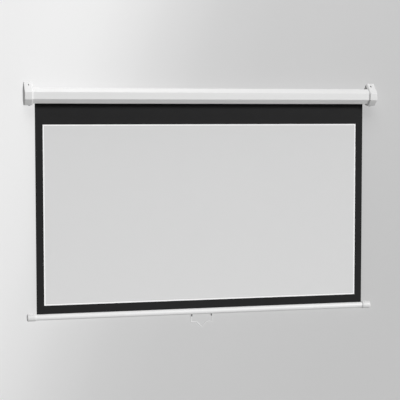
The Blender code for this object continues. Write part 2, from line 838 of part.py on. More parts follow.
def build_idle_plug():
    """Plug in the roller's left end."""
    start = (-ROLLER_END, ROLLER_Y, ROLLER_Z)
    plug = turned("idle_plug", plug_profile(IDLE_PIN_RADIUS + GAP), start,
                  ALONG_MINUS_X, closed=True)
    return finish(plug, grey_plastic())


def build_idle_pin():
    """Pin that stands out of the plug and turns in the idle bush."""
    inner = ROLLER_END - IDLE_PIN_IN_PLUG
    outer = (PLATE_OUTER + CAP_FLOOR) / 2
    pin = round_bar("idle_pin", IDLE_PIN_RADIUS, (-inner, ROLLER_Y, ROLLER_Z),
                    outer - inner, ALONG_MINUS_X)
    return finish(pin, zinc_steel())


def build_ratchet_head():
    """Plug in the roller's right end, bored for its bush and the pawl pins."""
    bore = ROD_RADIUS + GAP + SHAFT_BUSH_WALL + GAP
    start = (ROLLER_END, ROLLER_Y, ROLLER_Z)
    head = turned("ratchet_head", plug_profile(bore), start, ALONG_X, closed=True)
    for turn in (0, 180):
        y, z = pawl_pivot(turn)
        combine(head, round_bar("pawl_pin_hole", PAWL_PIN_RADIUS + GAP, (FLANGE_INNER, y, z),
                                2 * FLANGE_THICKNESS, ALONG_X, CUTTERS, HOLE_STEPS))
    return finish(head, grey_plastic())


def build_shaft_bush():
    """Bush in the ratchet head that runs on the fixed rod."""
    inner = ROD_RADIUS + GAP
    start = (PLUG_INNER, ROLLER_Y, ROLLER_Z)
    bush = ring("shaft_bush", inner + SHAFT_BUSH_WALL, inner, start,
                FLANGE_OUTER - PLUG_INNER, ALONG_X)
    return finish(bush, nylon())


def build_wraps():
    """Turns of cloth that never leave the roller."""
    inner = ROLLER_RADIUS + GAP
    start = (-CLOTH_END, ROLLER_Y, ROLLER_Z)
    wraps = ring("cloth_wraps", inner + WRAPS_THICKNESS, inner, start, 2 * CLOTH_END, ALONG_X)
    return finish(wraps, black_cloth())


# Pawls

def pawl_pivot(turn):
    """Place of a pawl's pin round the roller's axis, turned in degrees."""
    angle = radians(turn)
    return (ROLLER_Y + PAWL_PIVOT_RADIUS * cos(angle), ROLLER_Z + PAWL_PIVOT_RADIUS * sin(angle))


def pawl_outline():
    """Pawl that curls from its pin round the collar to a nose just off its rim."""
    pin = Vector((PAWL_PIVOT_RADIUS, 0))
    aim = radians(NOSE_ANGLE)
    radial = Vector((cos(aim), sin(aim)))
    across = Vector((-radial.y, radial.x))
    tip = radial * (COLLAR_RADIUS + GAP)
    half = NOSE_WIDTH / 2
    knee = COLLAR_RADIUS + PAWL_BOW
    bend = radians(PAWL_ELBOW_ANGLE)
    elbow = Vector((cos(bend), sin(bend)))
    eye = arc(pin, PAWL_EYE_RADIUS, *PAWL_EYE_ANGLES, EYE_STEPS)
    return eye + [
        elbow * (knee + PAWL_ARM),
        radial * (knee + PAWL_ARM) + across * half,
        tip + across * half,
        tip - across * half,
        radial * knee - across * half,
        elbow * knee,
    ]


def build_pawl(name, turn):
    """Pawl that swings on its pin; its origin is on the pin's axis."""
    spin = Matrix.Rotation(radians(turn), 2)
    centre = Vector((ROLLER_Y, ROLLER_Z))
    outline = [centre + spin @ point for point in pawl_outline()]
    low = FLANGE_OUTER + GAP
    high = low + COLLAR_THICKNESS
    pawl = prism_x(name, [outline], low, high)
    y, z = pawl_pivot(turn)
    combine(pawl, round_bar("pawl_hole", PAWL_PIN_RADIUS + GAP, (low - CUT_PAST, y, z),
                            2 * COLLAR_THICKNESS, ALONG_X, CUTTERS, HOLE_STEPS))
    set_origin(pawl, (low, y, z))
    return finish(pawl, zinc_steel())


def build_pawl_pin(name, turn):
    """Headed pin that holds a pawl on the ratchet head."""
    y, z = pawl_pivot(turn)
    seat = (FLANGE_OUTER + 2 * GAP + COLLAR_THICKNESS, y, z)
    pin = pan_screw(name, PAWL_PIN_HEAD_RADIUS, PAWL_PIN_HEAD, PAWL_PIN_RADIUS,
                    COLLAR_THICKNESS + 2 * GAP + PAWL_PIN_IN_FLANGE, seat, ALONG_MINUS_X)
    return finish(pin, zinc_steel())


# Cloth and hem bar

def build_cloth():
    """Flat cloth from the roller's back to the hem, with the picture printed on it."""
    bottom = HEM_Z + HEM_RADIUS + GAP
    half = CLOTH_THICKNESS / 2
    cloth = block("cloth_sheet", (-CLOTH_END, CLOTH_Y - half, bottom),
                  (CLOTH_END, CLOTH_Y + half, ROLLER_Z))
    middle = cloth.location.z
    made = bmesh.new()
    made.from_mesh(cloth.data)
    picture_half = PICTURE_WIDTH / 2
    lines = [((x, 0, 0), (1, 0, 0)) for x in (-picture_half, picture_half)]
    lines += [((0, 0, z - middle), (0, 0, 1)) for z in (PICTURE_BOTTOM, PICTURE_TOP)]
    for place, normal in lines:
        everything = made.verts[:] + made.edges[:] + made.faces[:]
        bmesh.ops.bisect_plane(made, geom=everything, plane_co=place, plane_no=normal)
    for face in made.faces:
        spot = face.calc_center_median()
        inside = (abs(spot.x) < picture_half
                  and PICTURE_BOTTOM < spot.z + middle < PICTURE_TOP)
        face.material_index = 1 if inside and face.normal.y < 0 else 0
    made.to_mesh(cloth.data)
    made.free()
    cloth.data.materials.append(black_cloth())
    cloth.data.materials.append(picture_cloth())
    return cloth


def build_hem_rod():
    start = (-CLOTH_END, CLOTH_Y, HEM_Z)
    rod = round_bar("hem_rod", HEM_ROD_RADIUS, start, 2 * CLOTH_END, ALONG_X, steps=HOLE_STEPS)
    return finish(rod, zinc_steel())


def build_hem():
    """Pocket of cloth round the hem rod."""
    inner = HEM_ROD_RADIUS + GAP
    start = (-CLOTH_END, CLOTH_Y, HEM_Z)
    hem = ring("cloth_hem", inner + CLOTH_THICKNESS, inner, start, 2 * CLOTH_END, ALONG_X)
    return finish(hem, black_cloth())


def bar_outline():
    """Tube seen from its end, open by a slot at the top, in Y and Z."""
    centre = (CLOTH_Y, BAR_Z)
    inner_radius = BAR_RADIUS - BAR_WALL
    outer_gap = degrees(atan2(BAR_SLOT / 2, BAR_RADIUS))
    inner_gap = degrees(atan2(BAR_SLOT / 2, inner_radius))
    outer = arc(centre, BAR_RADIUS, 90 + outer_gap, 450 - outer_gap, TURN_STEPS)
    inner = arc(centre, inner_radius, 450 - inner_gap, 90 + inner_gap, TURN_STEPS)
    return outer + inner


def build_bar_tube():
    tube = prism_x("hem_bar_tube", [bar_outline()], -BAR_TUBE_END, BAR_TUBE_END)
    for side in SIDES.values():
        x = HANDLE_OFFSET + side * EAR_OFFSET
        combine(tube, round_bar("ear_hole", EAR_SPIGOT_RADIUS + GAP,
                                (x, CLOTH_Y, BAR_Z - BAR_RADIUS - BAR_WALL),
                                4 * BAR_WALL, ALONG_Z, CUTTERS, HOLE_STEPS))
    return finish(tube, white_paint())


def build_bar_cap(name, side):
    """Round cap that slips over the bar's end, with a soft outer edge."""
    inner = BAR_RADIUS + GAP
    socket = BAR_CAP_LENGTH - BAR_CAP_END_WALL
    rounding = arc((BAR_CAP_RADIUS - BAR_CAP_ROUNDING, BAR_CAP_LENGTH - BAR_CAP_ROUNDING),
                   BAR_CAP_ROUNDING, 90, 0, ROUNDING_STEPS)
    profile = [(0, BAR_CAP_LENGTH)]
    profile += [(point.x, point.y) for point in rounding]
    profile += [(BAR_CAP_RADIUS, BAR_CAP_MOUTH_EDGE), (BAR_CAP_RADIUS - BAR_CAP_MOUTH_EDGE, 0),
                (inner, 0), (inner, socket), (0, socket)]
    turn = ALONG_X if side > 0 else ALONG_MINUS_X
    cap = turned(name, profile, (side * BAR_CAP_INNER, CLOTH_Y, BAR_Z), turn)
    return finish(cap, white_plastic())


# Pull handle

def ear_outline():
    """Ear seen along X: straight sides under the bar, round below the pivot."""
    centre = (CLOTH_Y, HANDLE_PIVOT_Z)
    top = BAR_Z - BAR_RADIUS + EAR_DROP / 2
    lower = arc(centre, EAR_RADIUS, 180, 360, EYE_STEPS)
    return lower + [Vector((CLOTH_Y + EAR_RADIUS, top)), Vector((CLOTH_Y - EAR_RADIUS, top))]


def build_ear(name, side):
    """Clip under the bar that carries one end of the handle."""
    x = HANDLE_OFFSET + side * EAR_OFFSET
    half = EAR_THICKNESS / 2
    ear = prism_x(name, [ear_outline()], x - half, x + half)
    combine(ear, round_bar("bar_clearance", BAR_RADIUS + GAP, (x - EAR_THICKNESS, CLOTH_Y, BAR_Z),
                           2 * EAR_THICKNESS, ALONG_X, CUTTERS, 2 * TURN_STEPS))
    start = BAR_Z - BAR_RADIUS - EAR_DROP / 4
    spigot = round_bar("ear_spigot", EAR_SPIGOT_RADIUS, (x, CLOTH_Y, start),
                       EAR_SPIGOT_LENGTH, ALONG_Z, CUTTERS, HOLE_STEPS)
    combine(ear, spigot, "UNION")
    pivot = round_bar("ear_pivot_hole", HANDLE_WIRE_RADIUS + GAP,
                      (x - EAR_THICKNESS, CLOTH_Y, HANDLE_PIVOT_Z), 2 * EAR_THICKNESS,
                      ALONG_X, CUTTERS, HOLE_STEPS)
    combine(ear, pivot)
    return finish(ear, grey_plastic())


def handle_points():
    """Bail in X and Z about its pivot line: pins, legs, shoulders and a V."""
    v_half = HANDLE_V_WIDTH / 2
    corners = [
        (-HANDLE_HALF + HANDLE_PIN, 0),
        (-HANDLE_HALF, 0),
        (-HANDLE_HALF, -HANDLE_LEG),
        (-v_half, -HANDLE_LEG),
        (0, -HANDLE_LEG - HANDLE_V_DEPTH),
        (v_half, -HANDLE_LEG),
        (HANDLE_HALF, -HANDLE_LEG),
        (HANDLE_HALF, 0),
        (HANDLE_HALF - HANDLE_PIN, 0),
    ]
    pin_bend = HANDLE_WIRE_RADIUS + GAP
    soft = rounded(corners, HANDLE_BEND, closed=False)
    tight = rounded(corners, pin_bend, closed=False)
    first = 1 + (CORNER_STEPS + 1)
    line = tight[:first] + soft[first:-first] + tight[-first:]
    return [Vector((HANDLE_OFFSET + x, CLOTH_Y, HANDLE_PIVOT_Z + z)) for x, z in line]


def build_handle():
    """Wire bail that swings in the two ears; its origin is on the pivot line."""
    handle = wire("pull_handle", handle_points(), HANDLE_WIRE_RADIUS, 2)
    set_origin(handle, (HANDLE_OFFSET, CLOTH_Y, HANDLE_PIVOT_Z))
    return finish(handle, white_paint())


# Assembly

def build_housing():
    """Everything that stays still on the wall."""
    frame = add_frame("housing_frame", (0, 0, 0))
    pieces = [build_case(), build_idle_bush(), build_spring_rod(), build_collar(),
              build_anchor()]
    openings = {"left": bush_hole(), "right": tang_slot()}
    for name, side in SIDES.items():
        pieces.append(build_cap(name + "_end_cap", side))
        pieces.append(build_cap_screw(name + "_cap_screw", side))
        pieces.append(build_plate(name + "_bracket_plate", side, openings[name]))
        for level, offset in (("upper", PLATE_SCREW_OFFSET), ("lower", -PLATE_SCREW_OFFSET)):
            pieces.append(build_plate_screw(f"{name}_bracket_screw_{level}", side, offset))
    for piece in pieces:
        carry(piece, frame)
    return frame


def build_roller(housing):
    """Everything that turns with the roller, and the two pawls on it."""
    frame = add_frame("roller_axis", (0, ROLLER_Y, ROLLER_Z), housing)
    pieces = [build_roller_tube(), build_wraps(), build_idle_plug(), build_idle_pin(),
              build_ratchet_head(), build_shaft_bush(), build_spring()]
    for name, turn in (("front", 180), ("rear", 0)):
        pieces.append(build_pawl(name + "_pawl", turn))
        pieces.append(build_pawl_pin(name + "_pawl_pin", turn))
    for piece in pieces:
        carry(piece, frame)
    return frame


def build_screen(housing):
    """Cloth and hem bar, which slide up and down, and the handle under them."""
    frame = add_frame("hem_bar_frame", (0, CLOTH_Y, BAR_Z), housing)
    pieces = [build_cloth(), build_hem_rod(), build_hem(), build_bar_tube()]
    for name, side in SIDES.items():
        pieces.append(build_bar_cap(name + "_bar_cap", side))
        pieces.append(build_ear(name + "_handle_ear", side))
    for piece in pieces:
        carry(piece, frame)
    pivot = add_frame("handle_pivot", (HANDLE_OFFSET, CLOTH_Y, HANDLE_PIVOT_Z), frame)
    carry(build_handle(), pivot)
    return frame


clear_scene()
PARTS = new_collection("pull_down_projector_screen")
CUTTERS = new_collection("cutters")
HOUSING = build_housing()
build_roller(HOUSING)
build_screen(HOUSING)
bpy.context.view_layer.update()
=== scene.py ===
"""Pull-down projector screen with a spring roller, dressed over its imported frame."""

from math import atan2, cos, degrees, pi, radians, sin, tan

import bmesh
import bpy
from mathutils import Matrix, Vector, noise


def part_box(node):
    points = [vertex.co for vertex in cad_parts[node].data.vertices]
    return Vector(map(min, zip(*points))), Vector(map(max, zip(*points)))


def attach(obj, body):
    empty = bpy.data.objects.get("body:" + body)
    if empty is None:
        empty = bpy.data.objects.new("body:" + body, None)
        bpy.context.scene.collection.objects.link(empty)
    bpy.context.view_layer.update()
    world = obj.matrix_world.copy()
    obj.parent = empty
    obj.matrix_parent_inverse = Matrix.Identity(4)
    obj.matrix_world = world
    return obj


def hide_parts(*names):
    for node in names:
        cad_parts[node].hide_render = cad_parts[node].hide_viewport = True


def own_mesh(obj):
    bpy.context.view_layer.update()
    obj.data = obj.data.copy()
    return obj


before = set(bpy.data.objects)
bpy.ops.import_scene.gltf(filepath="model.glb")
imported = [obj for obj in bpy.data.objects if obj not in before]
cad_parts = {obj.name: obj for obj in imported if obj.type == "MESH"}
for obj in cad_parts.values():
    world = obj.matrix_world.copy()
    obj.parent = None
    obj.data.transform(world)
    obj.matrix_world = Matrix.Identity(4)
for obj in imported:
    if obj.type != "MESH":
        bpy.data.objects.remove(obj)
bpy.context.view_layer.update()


# Case shell
# One strip of 1 mm steel, roll-formed to eight sides with a slot low at the back
# for the cloth. It is powder coated white, and its ends slide into the end caps.

SHEET = 0.001
CASE_CHAMFER = 0.017
CASE_BEND = 0.002
SLOT_WIDTH = 0.0112
LIP_HEIGHT = 0.005
LIP_BEND = 0.0012
BEND_STEPS = 8
FLAT_STEPS = 6
CASE_STATIONS = 90
SHEET_RIPPLE = 0.00012
RIPPLE_LENGTH = 0.16
RIPPLES_ACROSS = 20
RIPPLE_SEED = 1
SHARP_ANGLE = 38
COAT_WHITE = (0.72, 0.72, 0.72)
COAT_SHADE = (0.70, 0.70, 0.695)
COAT_ON_BENDS = (0.78, 0.78, 0.78)
DUST = (0.42, 0.40, 0.37)
COAT_ROUGHNESS = (0.35, 0.47)
ORANGE_PEEL = 0.0011
FLAT_POINTINESS = 0.505

case_low, case_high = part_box("case_shell")
cloth_low, cloth_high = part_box("cloth_sheet")
CLOTH_Y = (cloth_low.y + cloth_high.y) / 2


def add_object(name, data):
    """Put a mesh, curve, lamp or camera in the scene."""
    added = bpy.data.objects.new(name, data)
    bpy.context.scene.collection.objects.link(added)
    return added


def piece_from(name, made):
    """Turn a bmesh into an object of the scene and free it."""
    mesh = bpy.data.meshes.new(name)
    made.to_mesh(mesh)
    made.free()
    return add_object(name, mesh)


def mesh_as_shown(piece):
    """Mesh of an object with its modifiers or its bevel worked in."""
    bpy.context.view_layer.update()
    graph = bpy.context.evaluated_depsgraph_get()
    return bpy.data.meshes.new_from_object(piece.evaluated_get(graph))


def bake(piece, *tools):
    """Make what the modifiers give the piece's own mesh, and drop its cutting tools."""
    mesh = mesh_as_shown(piece)
    piece.modifiers.clear()
    piece.data = mesh
    for tool in tools:
        bpy.data.objects.remove(tool, do_unlink=True)
    return piece


def thicken(piece, thickness):
    """Give a sheet its thickness, inwards from its outer face."""
    solid = piece.modifiers.new("thickness", "SOLIDIFY")
    solid.thickness = thickness
    solid.offset = -1
    solid.use_even_offset = True
    return bake(piece)


def settle(piece, body, coat, node):
    """Coat a piece, hang it on its body and let it stand for its CAD node."""
    if coat:
        piece.data.materials.clear()
        piece.data.materials.append(coat)
    piece.data.shade_smooth()
    piece.data.set_sharp_from_angle(angle=radians(SHARP_ANGLE))
    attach(piece, body)
    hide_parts(node)


def rounded(points, radius, steps=BEND_STEPS, closed=True):
    """Replace a flat outline's corners by arcs, of one radius or one for each point.
    An open line keeps its ends."""
    radii = radius if isinstance(radius, list) else [radius] * len(points)
    result = []
    for i, here in enumerate(points):
        here = Vector(here)
        if not closed and i in (0, len(points) - 1):
            result.append(here)
            continue
        back = (Vector(points[i - 1]) - here).normalized()
        ahead = (Vector(points[(i + 1) % len(points)]) - here).normalized()
        half_angle = back.angle(ahead) / 2
        centre = here + (back + ahead).normalized() * (radii[i] / sin(half_angle))
        spoke = here + back * (radii[i] / tan(half_angle)) - centre
        sweep = pi - 2 * half_angle
        if back.x * ahead.y - back.y * ahead.x > 0:
            sweep = -sweep
        for k in range(steps + 1):
            result.append(centre + Matrix.Rotation(sweep * k / steps, 2) @ spoke)
    return result


def eight_sides(low, high, chamfer):
    """Square with cut corners in Y and Z, from the corner below the slot round."""
    return [(high.y - chamfer, low.z), (high.y, low.z + chamfer),
            (high.y, high.z - chamfer), (high.y - chamfer, high.z),
            (low.y + chamfer, high.z), (low.y, high.z - chamfer),
            (low.y, low.z + chamfer), (low.y + chamfer, low.z)]


def bends(line, ends, middle):
    """Radii for an open line: one for its first and last bend, one for the others."""
    return [ends] * 2 + [middle] * (len(line) - 4) + [ends] * 2


def case_path():
    """Outer line of the sheet from the slot's back lip round to its front lip."""
    corners = eight_sides(case_low, case_high, CASE_CHAMFER)
    lip_back = CLOTH_Y + SLOT_WIDTH / 2
    lip_front = CLOTH_Y - SLOT_WIDTH / 2
    turn_y = corners[0][0]
    back_floor = case_low.z + max(0, lip_back - turn_y)
    front_floor = case_low.z + max(0, lip_front - turn_y)
    line = [(lip_back, back_floor + LIP_HEIGHT), (lip_back, back_floor)]
    line += corners[1:]
    line += [(lip_front, front_floor), (lip_front, front_floor + LIP_HEIGHT)]
    return rounded(line, bends(line, LIP_BEND, CASE_BEND), closed=False)


def with_flats(line, steps):
    """Split the long straight stretches of a line into equal steps."""
    result = [line[0]]
    longest = max((b - a).length for a, b in zip(line, line[1:]))
    for a, b in zip(line, line[1:]):
        parts = max(1, round(steps * (b - a).length / longest))
        result += [a.lerp(b, k / parts) for k in range(1, parts + 1)]
    return result


def ribbon(name, line, stations):
    """Sheet that follows a line in Y and Z and is drawn out along X."""
    made = bmesh.new()
    rows = [[made.verts.new((x, y, z)) for y, z in line] for x in stations]
    for here, after in zip(rows, rows[1:]):
        for i in range(len(line) - 1):
            made.faces.new((here[i], here[i + 1], after[i + 1], after[i]))
    return piece_from(name, made)


def steps_between(low, high, count):
    """Evenly spaced places, both ends included."""
    return [low + (high - low) * k / count for k in range(count + 1)]


def ripple_sheet(piece):
    """Give a long sheet the slight unevenness of rolled metal, the same in each run."""
    noise.seed_set(RIPPLE_SEED)
    for vertex in piece.data.vertices:
        spot = vertex.co * RIPPLES_ACROSS
        spot.x = vertex.co.x / RIPPLE_LENGTH
        shift = noise.noise_vector(spot) * SHEET_RIPPLE
        vertex.co += Vector((0, shift.y, shift.z))


def new_group(name, numbers, results):
    """Shader node group with number inputs and named results."""
    group = bpy.data.node_groups.new(name, "ShaderNodeTree")
    for label, value in numbers.items():
        socket = group.interface.new_socket(label, in_out="INPUT",
                                            socket_type="NodeSocketFloat")
        socket.default_value = value
    for label in results:
        group.interface.new_socket(label, in_out="OUTPUT", socket_type="NodeSocketFloat")
    return group, group.nodes.new("NodeGroupInput"), group.nodes.new("NodeGroupOutput")


def feed(value, socket):
    """Join a socket to another one, or set it to a plain value."""
    if isinstance(value, bpy.types.NodeSocket):
        socket.id_data.links.new(value, socket)
    else:
        socket.default_value = value


def calculate(tree, operation, *values):
    """Math node whose inputs are sockets or plain numbers."""
    node = tree.nodes.new("ShaderNodeMath")
    node.operation = operation
    for socket, value in zip(node.inputs, values):
        feed(value, socket)
    return node.outputs[0]


def on_object(tree, kind):
    """Node of a kind that is given the place on the object in metres."""
    place = tree.nodes.new("ShaderNodeTexCoord")
    node = tree.nodes.new(kind)
    feed(place.outputs["Object"], node.inputs["Vector"])
    return node


def noise_field(tree, size, detail=3.0):
    """Noise whose cells have a size, which is a socket or a number of metres."""
    field = on_object(tree, "ShaderNodeTexNoise")
    field.inputs["Detail"].default_value = detail
    feed(calculate(tree, "DIVIDE", 1.0, size), field.inputs["Scale"])
    return field.outputs["Fac"]


def build_fine_grain():
    """Bumps of one size, and slow patches that are many times wider."""
    group, given, result = new_group("fine_grain", {"Grain Size": 0.001, "Patch Size": 0.1},
                                     ["Height", "Patches"])
    fine = noise_field(group, given.outputs["Grain Size"], 2.0)
    wide = noise_field(group, given.outputs["Patch Size"], 4.0)
    feed(fine, result.inputs["Height"])
    feed(wide, result.inputs["Patches"])
    return group


def build_edge_rub():
    """Mask that is strongest on bends and edges, broken up by noise."""
    group, given, result = new_group("edge_rub", {"Sharpest": 0.56, "Break Size": 0.006},
                                     ["Mask"])
    geometry = group.nodes.new("ShaderNodeNewGeometry")
    ramp = group.nodes.new("ShaderNodeMapRange")
    ramp.inputs["From Min"].default_value = FLAT_POINTINESS
    feed(geometry.outputs["Pointiness"], ramp.inputs["Value"])
    feed(given.outputs["Sharpest"], ramp.inputs["From Max"])
    breaks = noise_field(group, given.outputs["Break Size"])
    broken = calculate(group, "MULTIPLY_ADD", breaks, 1.2, 0.1)
    feed(calculate(group, "MULTIPLY", ramp.outputs["Result"], broken), result.inputs["Mask"])
    return group


def build_settled_dust():
    """Mask of dust on faces that look up, thicker in patches."""
    group, given, result = new_group("settled_dust", {"Amount": 0.3, "Patch Size": 0.05},
                                     ["Mask"])
    geometry = group.nodes.new("ShaderNodeNewGeometry")
    parts = group.nodes.new("ShaderNodeSeparateXYZ")
    feed(geometry.outputs["Normal"], parts.inputs["Vector"])
    upward = calculate(group, "MAXIMUM", parts.outputs["Z"], 0.0)
    patches = noise_field(group, given.outputs["Patch Size"], 5.0)
    lying = calculate(group, "MULTIPLY", patches, upward)
    feed(calculate(group, "MULTIPLY", lying, given.outputs["Amount"]), result.inputs["Mask"])
    return group


FINE_GRAIN = build_fine_grain()
EDGE_RUB = build_edge_rub()
SETTLED_DUST = build_settled_dust()


def place_group(tree, group, **numbers):
    """Put a node group in a material with its own values."""
    node = tree.nodes.new("ShaderNodeGroup")
    node.node_tree = group
    for label, value in numbers.items():
        node.inputs[label.replace("_", " ").title()].default_value = value
    return node.outputs


def new_material(name):
    """Material with its Principled shader, ready to be wired."""
    made = bpy.data.materials.new(name)
    made.use_nodes = True
    return made, made.node_tree, made.node_tree.nodes["Principled BSDF"]


def blend(tree, first, second, amount):
    """Colour between two, which are sockets or plain colours, by a mask."""
    node = tree.nodes.new("ShaderNodeMix")
    node.data_type = "RGBA"
    feed(amount, node.inputs["Factor"])
    for name, colour in (("A", first), ("B", second)):
        plain = isinstance(colour, tuple)
        feed((*colour, 1.0) if plain else colour, node.inputs[name])
    return node.outputs["Result"]


def spread(tree, mask, low, high):
    """Number that runs from low to high as a mask goes from 0 to 1."""
    return calculate(tree, "MULTIPLY_ADD", mask, high - low, low)


def finish(shader, colour, roughness, height, depth, strength, metallic=0.0):
    """Give a shader its colour, roughness and bumps, whose depth is in metres."""
    feed(colour, shader.inputs["Base Color"])
    feed(roughness, shader.inputs["Roughness"])
    shader.inputs["Metallic"].default_value = metallic
    bump = shader.id_data.nodes.new("ShaderNodeBump")
    bump.inputs["Distance"].default_value = depth
    bump.inputs["Strength"].default_value = strength
    feed(height, bump.inputs["Height"])
    feed(bump.outputs["Normal"], shader.inputs["Normal"])


def powder_coat():
    """White powder coat: faint orange peel, cleaner bends, a little dust on top."""
    made, tree, shader = new_material("white_powder_coat")
    grain = place_group(tree, FINE_GRAIN, grain_size=ORANGE_PEEL, patch_size=0.09)
    rub = place_group(tree, EDGE_RUB, sharpest=0.58)
    dust = place_group(tree, SETTLED_DUST, amount=0.10)
    even = blend(tree, COAT_WHITE, COAT_SHADE, grain["Patches"])
    cleaner = blend(tree, even, COAT_ON_BENDS, rub["Mask"])
    dusty = blend(tree, cleaner, DUST, dust["Mask"])
    rough = spread(tree, grain["Patches"], *COAT_ROUGHNESS)
    finish(shader, dusty, rough, grain["Height"], depth=0.00002, strength=0.6)
    return made


WHITE_COAT = powder_coat()

case_shell = ribbon("case_shell_folded", with_flats(case_path(), FLAT_STEPS),
                    steps_between(case_low.x, case_high.x, CASE_STATIONS))
ripple_sheet(case_shell)
thicken(case_shell, SHEET)
settle(case_shell, "housing", WHITE_COAT, "case_shell")


# Bracket plates and their screws
# A zinc-plated steel plate closes each end of the case and carries the roller. Two
# pan-head screws with cross recesses hold it to bosses inside the end cap.

ZINC = (0.60, 0.61, 0.62)
ZINC_BLOOM = (0.47, 0.49, 0.52)
ZINC_RUBBED = (0.75, 0.75, 0.74)
ZINC_ROUGHNESS = (0.24, 0.46)
BRACKET_SHANK = 0.0015
BRACKET_HEAD_DOME = 0.0007
HEAD_HEIGHT_IN_DOMES = 3
RECESS_WIDTH = 0.0007
RECESS_REACH = 0.55
RECESS_DEPTH_IN_DOMES = 1.6
HEAD_STEPS = 6
TURNED_STEPS = 48
TOOL_STEPS = 32


def dress(coat, *names):
    """Give CAD nodes that keep their shape a better material."""
    for name in names:
        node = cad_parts[name]
        for slot in node.material_slots:
            slot.material = coat


def zinc_plate():
    """Bright zinc plating with its faint cloudy bloom and rubbed edges."""
    made, tree, shader = new_material("zinc_plating")
    grain = place_group(tree, FINE_GRAIN, grain_size=0.0005, patch_size=0.012)
    rub = place_group(tree, EDGE_RUB, sharpest=0.60)
    cloudy = blend(tree, ZINC, ZINC_BLOOM, grain["Patches"])
    rubbed = blend(tree, cloudy, ZINC_RUBBED, rub["Mask"])
    rough = spread(tree, grain["Patches"], *ZINC_ROUGHNESS)
    finish(shader, rubbed, rough, grain["Height"], depth=0.00001, strength=0.5, metallic=1.0)
    return made


def turned(name, profile, place, direction, steps=TURNED_STEPS):
    """Solid turned from (radius, height) points about a line through a place."""
    made = bmesh.new()
    turn = Vector(direction).to_track_quat("Z", "Y").to_matrix()
    rows = []
    for radius, height in profile:
        count = steps if radius > 0 else 1
        row = []
        for k in range(count):
            angle = 2 * pi * k / steps
            spot = Vector((radius * cos(angle), radius * sin(angle), height))
            row.append(made.verts.new(Vector(place) + turn @ spot))
        rows.append(row)
    for here, after in zip(rows, rows[1:]):
        for k in range(steps):
            corners = [here[k % len(here)], here[(k + 1) % len(here)],
                       after[(k + 1) % len(after)], after[k % len(after)]]
            made.faces.new(list(dict.fromkeys(corners)))
    bmesh.ops.recalc_face_normals(made, faces=made.faces)
    return piece_from(name, made)


def peg(name, radius, start, direction, length, steps=TOOL_STEPS):
    """Plain round tool from a start point."""
    return turned(name, [(0, 0), (radius, 0), (radius, length), (0, length)], start,
                  direction, steps)


def box_tool(name, size, place, turn):
    """Box about a place, turned there."""
    made = bmesh.new()
    bmesh.ops.create_cube(made, size=1.0)
    bmesh.ops.scale(made, verts=made.verts, vec=size)
    bmesh.ops.transform(made, verts=made.verts, matrix=turn.to_4x4())
    bmesh.ops.translate(made, verts=made.verts, vec=place)
    return piece_from(name, made)


def shape_with(piece, operation, *tools):
    """Cut a piece with tools, or join them to it, and drop the tools."""
    for tool in tools:
        change = piece.modifiers.new(tool.name, "BOOLEAN")
        change.operation = operation
        change.object = tool
    return bake(piece, *tools)


def point_at(centre, radius, angle):
    """Point on a circle at an angle in degrees."""
    return Vector(centre) + radius * Vector((cos(radians(angle)), sin(radians(angle))))


def arc(centre, radius, start, end, steps):
    """Points on an arc from one angle to another in degrees, both included."""
    return [point_at(centre, radius, angle) for angle in steps_between(start, end, steps)]


def cross_head_screw(name, node, direction, dome, shank_radius):
    """Pan-head screw in the place of a CAD screw, with a cross recess in its head."""
    low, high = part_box(node)
    axis = Vector(direction)
    across = [i for i in range(3) if not axis[i]][0]
    head_radius = (high[across] - low[across]) / 2
    crown, tip = sorted((low.dot(axis), high.dot(axis)))
    middle = (low + high) / 2
    middle += axis * (crown - middle.dot(axis))
    length = tip - crown
    head = HEAD_HEIGHT_IN_DOMES * dome
    rim = arc((head_radius - dome, dome), dome, 270, 360, HEAD_STEPS)
    profile = [(r, dome * 0.5 * (r / head_radius) ** 2)
               for r in steps_between(0, head_radius - dome, HEAD_STEPS - 1)]
    profile += [(p.x, p.y + dome * 0.5) for p in rim[1:]]
    profile += [(head_radius, head), (shank_radius, head),
                (shank_radius, length - shank_radius), (0, length)]
    screw = turned(name, profile, middle, axis)
    reach = 2 * RECESS_REACH * head_radius
    depth = 2 * RECESS_DEPTH_IN_DOMES * dome
    turn = axis.to_track_quat("Z", "Y").to_matrix()
    tools = [box_tool("recess", size, middle, turn)
             for size in ((reach, RECESS_WIDTH, depth), (RECESS_WIDTH, reach, depth))]
    return shape_with(screw, "DIFFERENCE", *tools)


ZINC_PLATE = zinc_plate()
dress(ZINC_PLATE, "left_bracket_plate", "right_bracket_plate")
for side, way in (("left", -1), ("right", 1)):
    for level in ("upper", "lower"):
        node = f"{side}_bracket_screw_{level}"
        screw = cross_head_screw(node + "_cross_head", node, (way, 0, 0), BRACKET_HEAD_DOME,
                                 BRACKET_SHANK)
        settle(screw, "housing", ZINC_PLATE, node)


# Fixed rod, ratchet collar and spring
# A steel rod stands still in the right plate. The oiled torsion spring is wound round
# it, from a plug on its inner end to the head in the roller's right end.

SPRING_TURNS = 48
SPRING_WIRE = 0.001
SPRING_LEG = 0.002
COIL_STEPS = 24
WIRE_RINGS = 4
SAME_POINT = 0.000001
SPRING_STEEL = (0.20, 0.20, 0.21)
OIL_FILM = (0.11, 0.10, 0.095)
OIL_ROUGHNESS = (0.22, 0.50)
NYLON = (0.72, 0.70, 0.64)
NYLON_SHADE = (0.66, 0.63, 0.55)
DARK_PLASTIC = (0.15, 0.15, 0.155)
DARK_SHADE = (0.11, 0.11, 0.115)

spring_low, spring_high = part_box("torsion_spring")
roller_low, roller_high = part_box("roller_tube")
ROLLER_Y = (roller_low.y + roller_high.y) / 2
ROLLER_Z = (roller_low.z + roller_high.z) / 2
ROLLER_AXIS = (ROLLER_Y, ROLLER_Z)


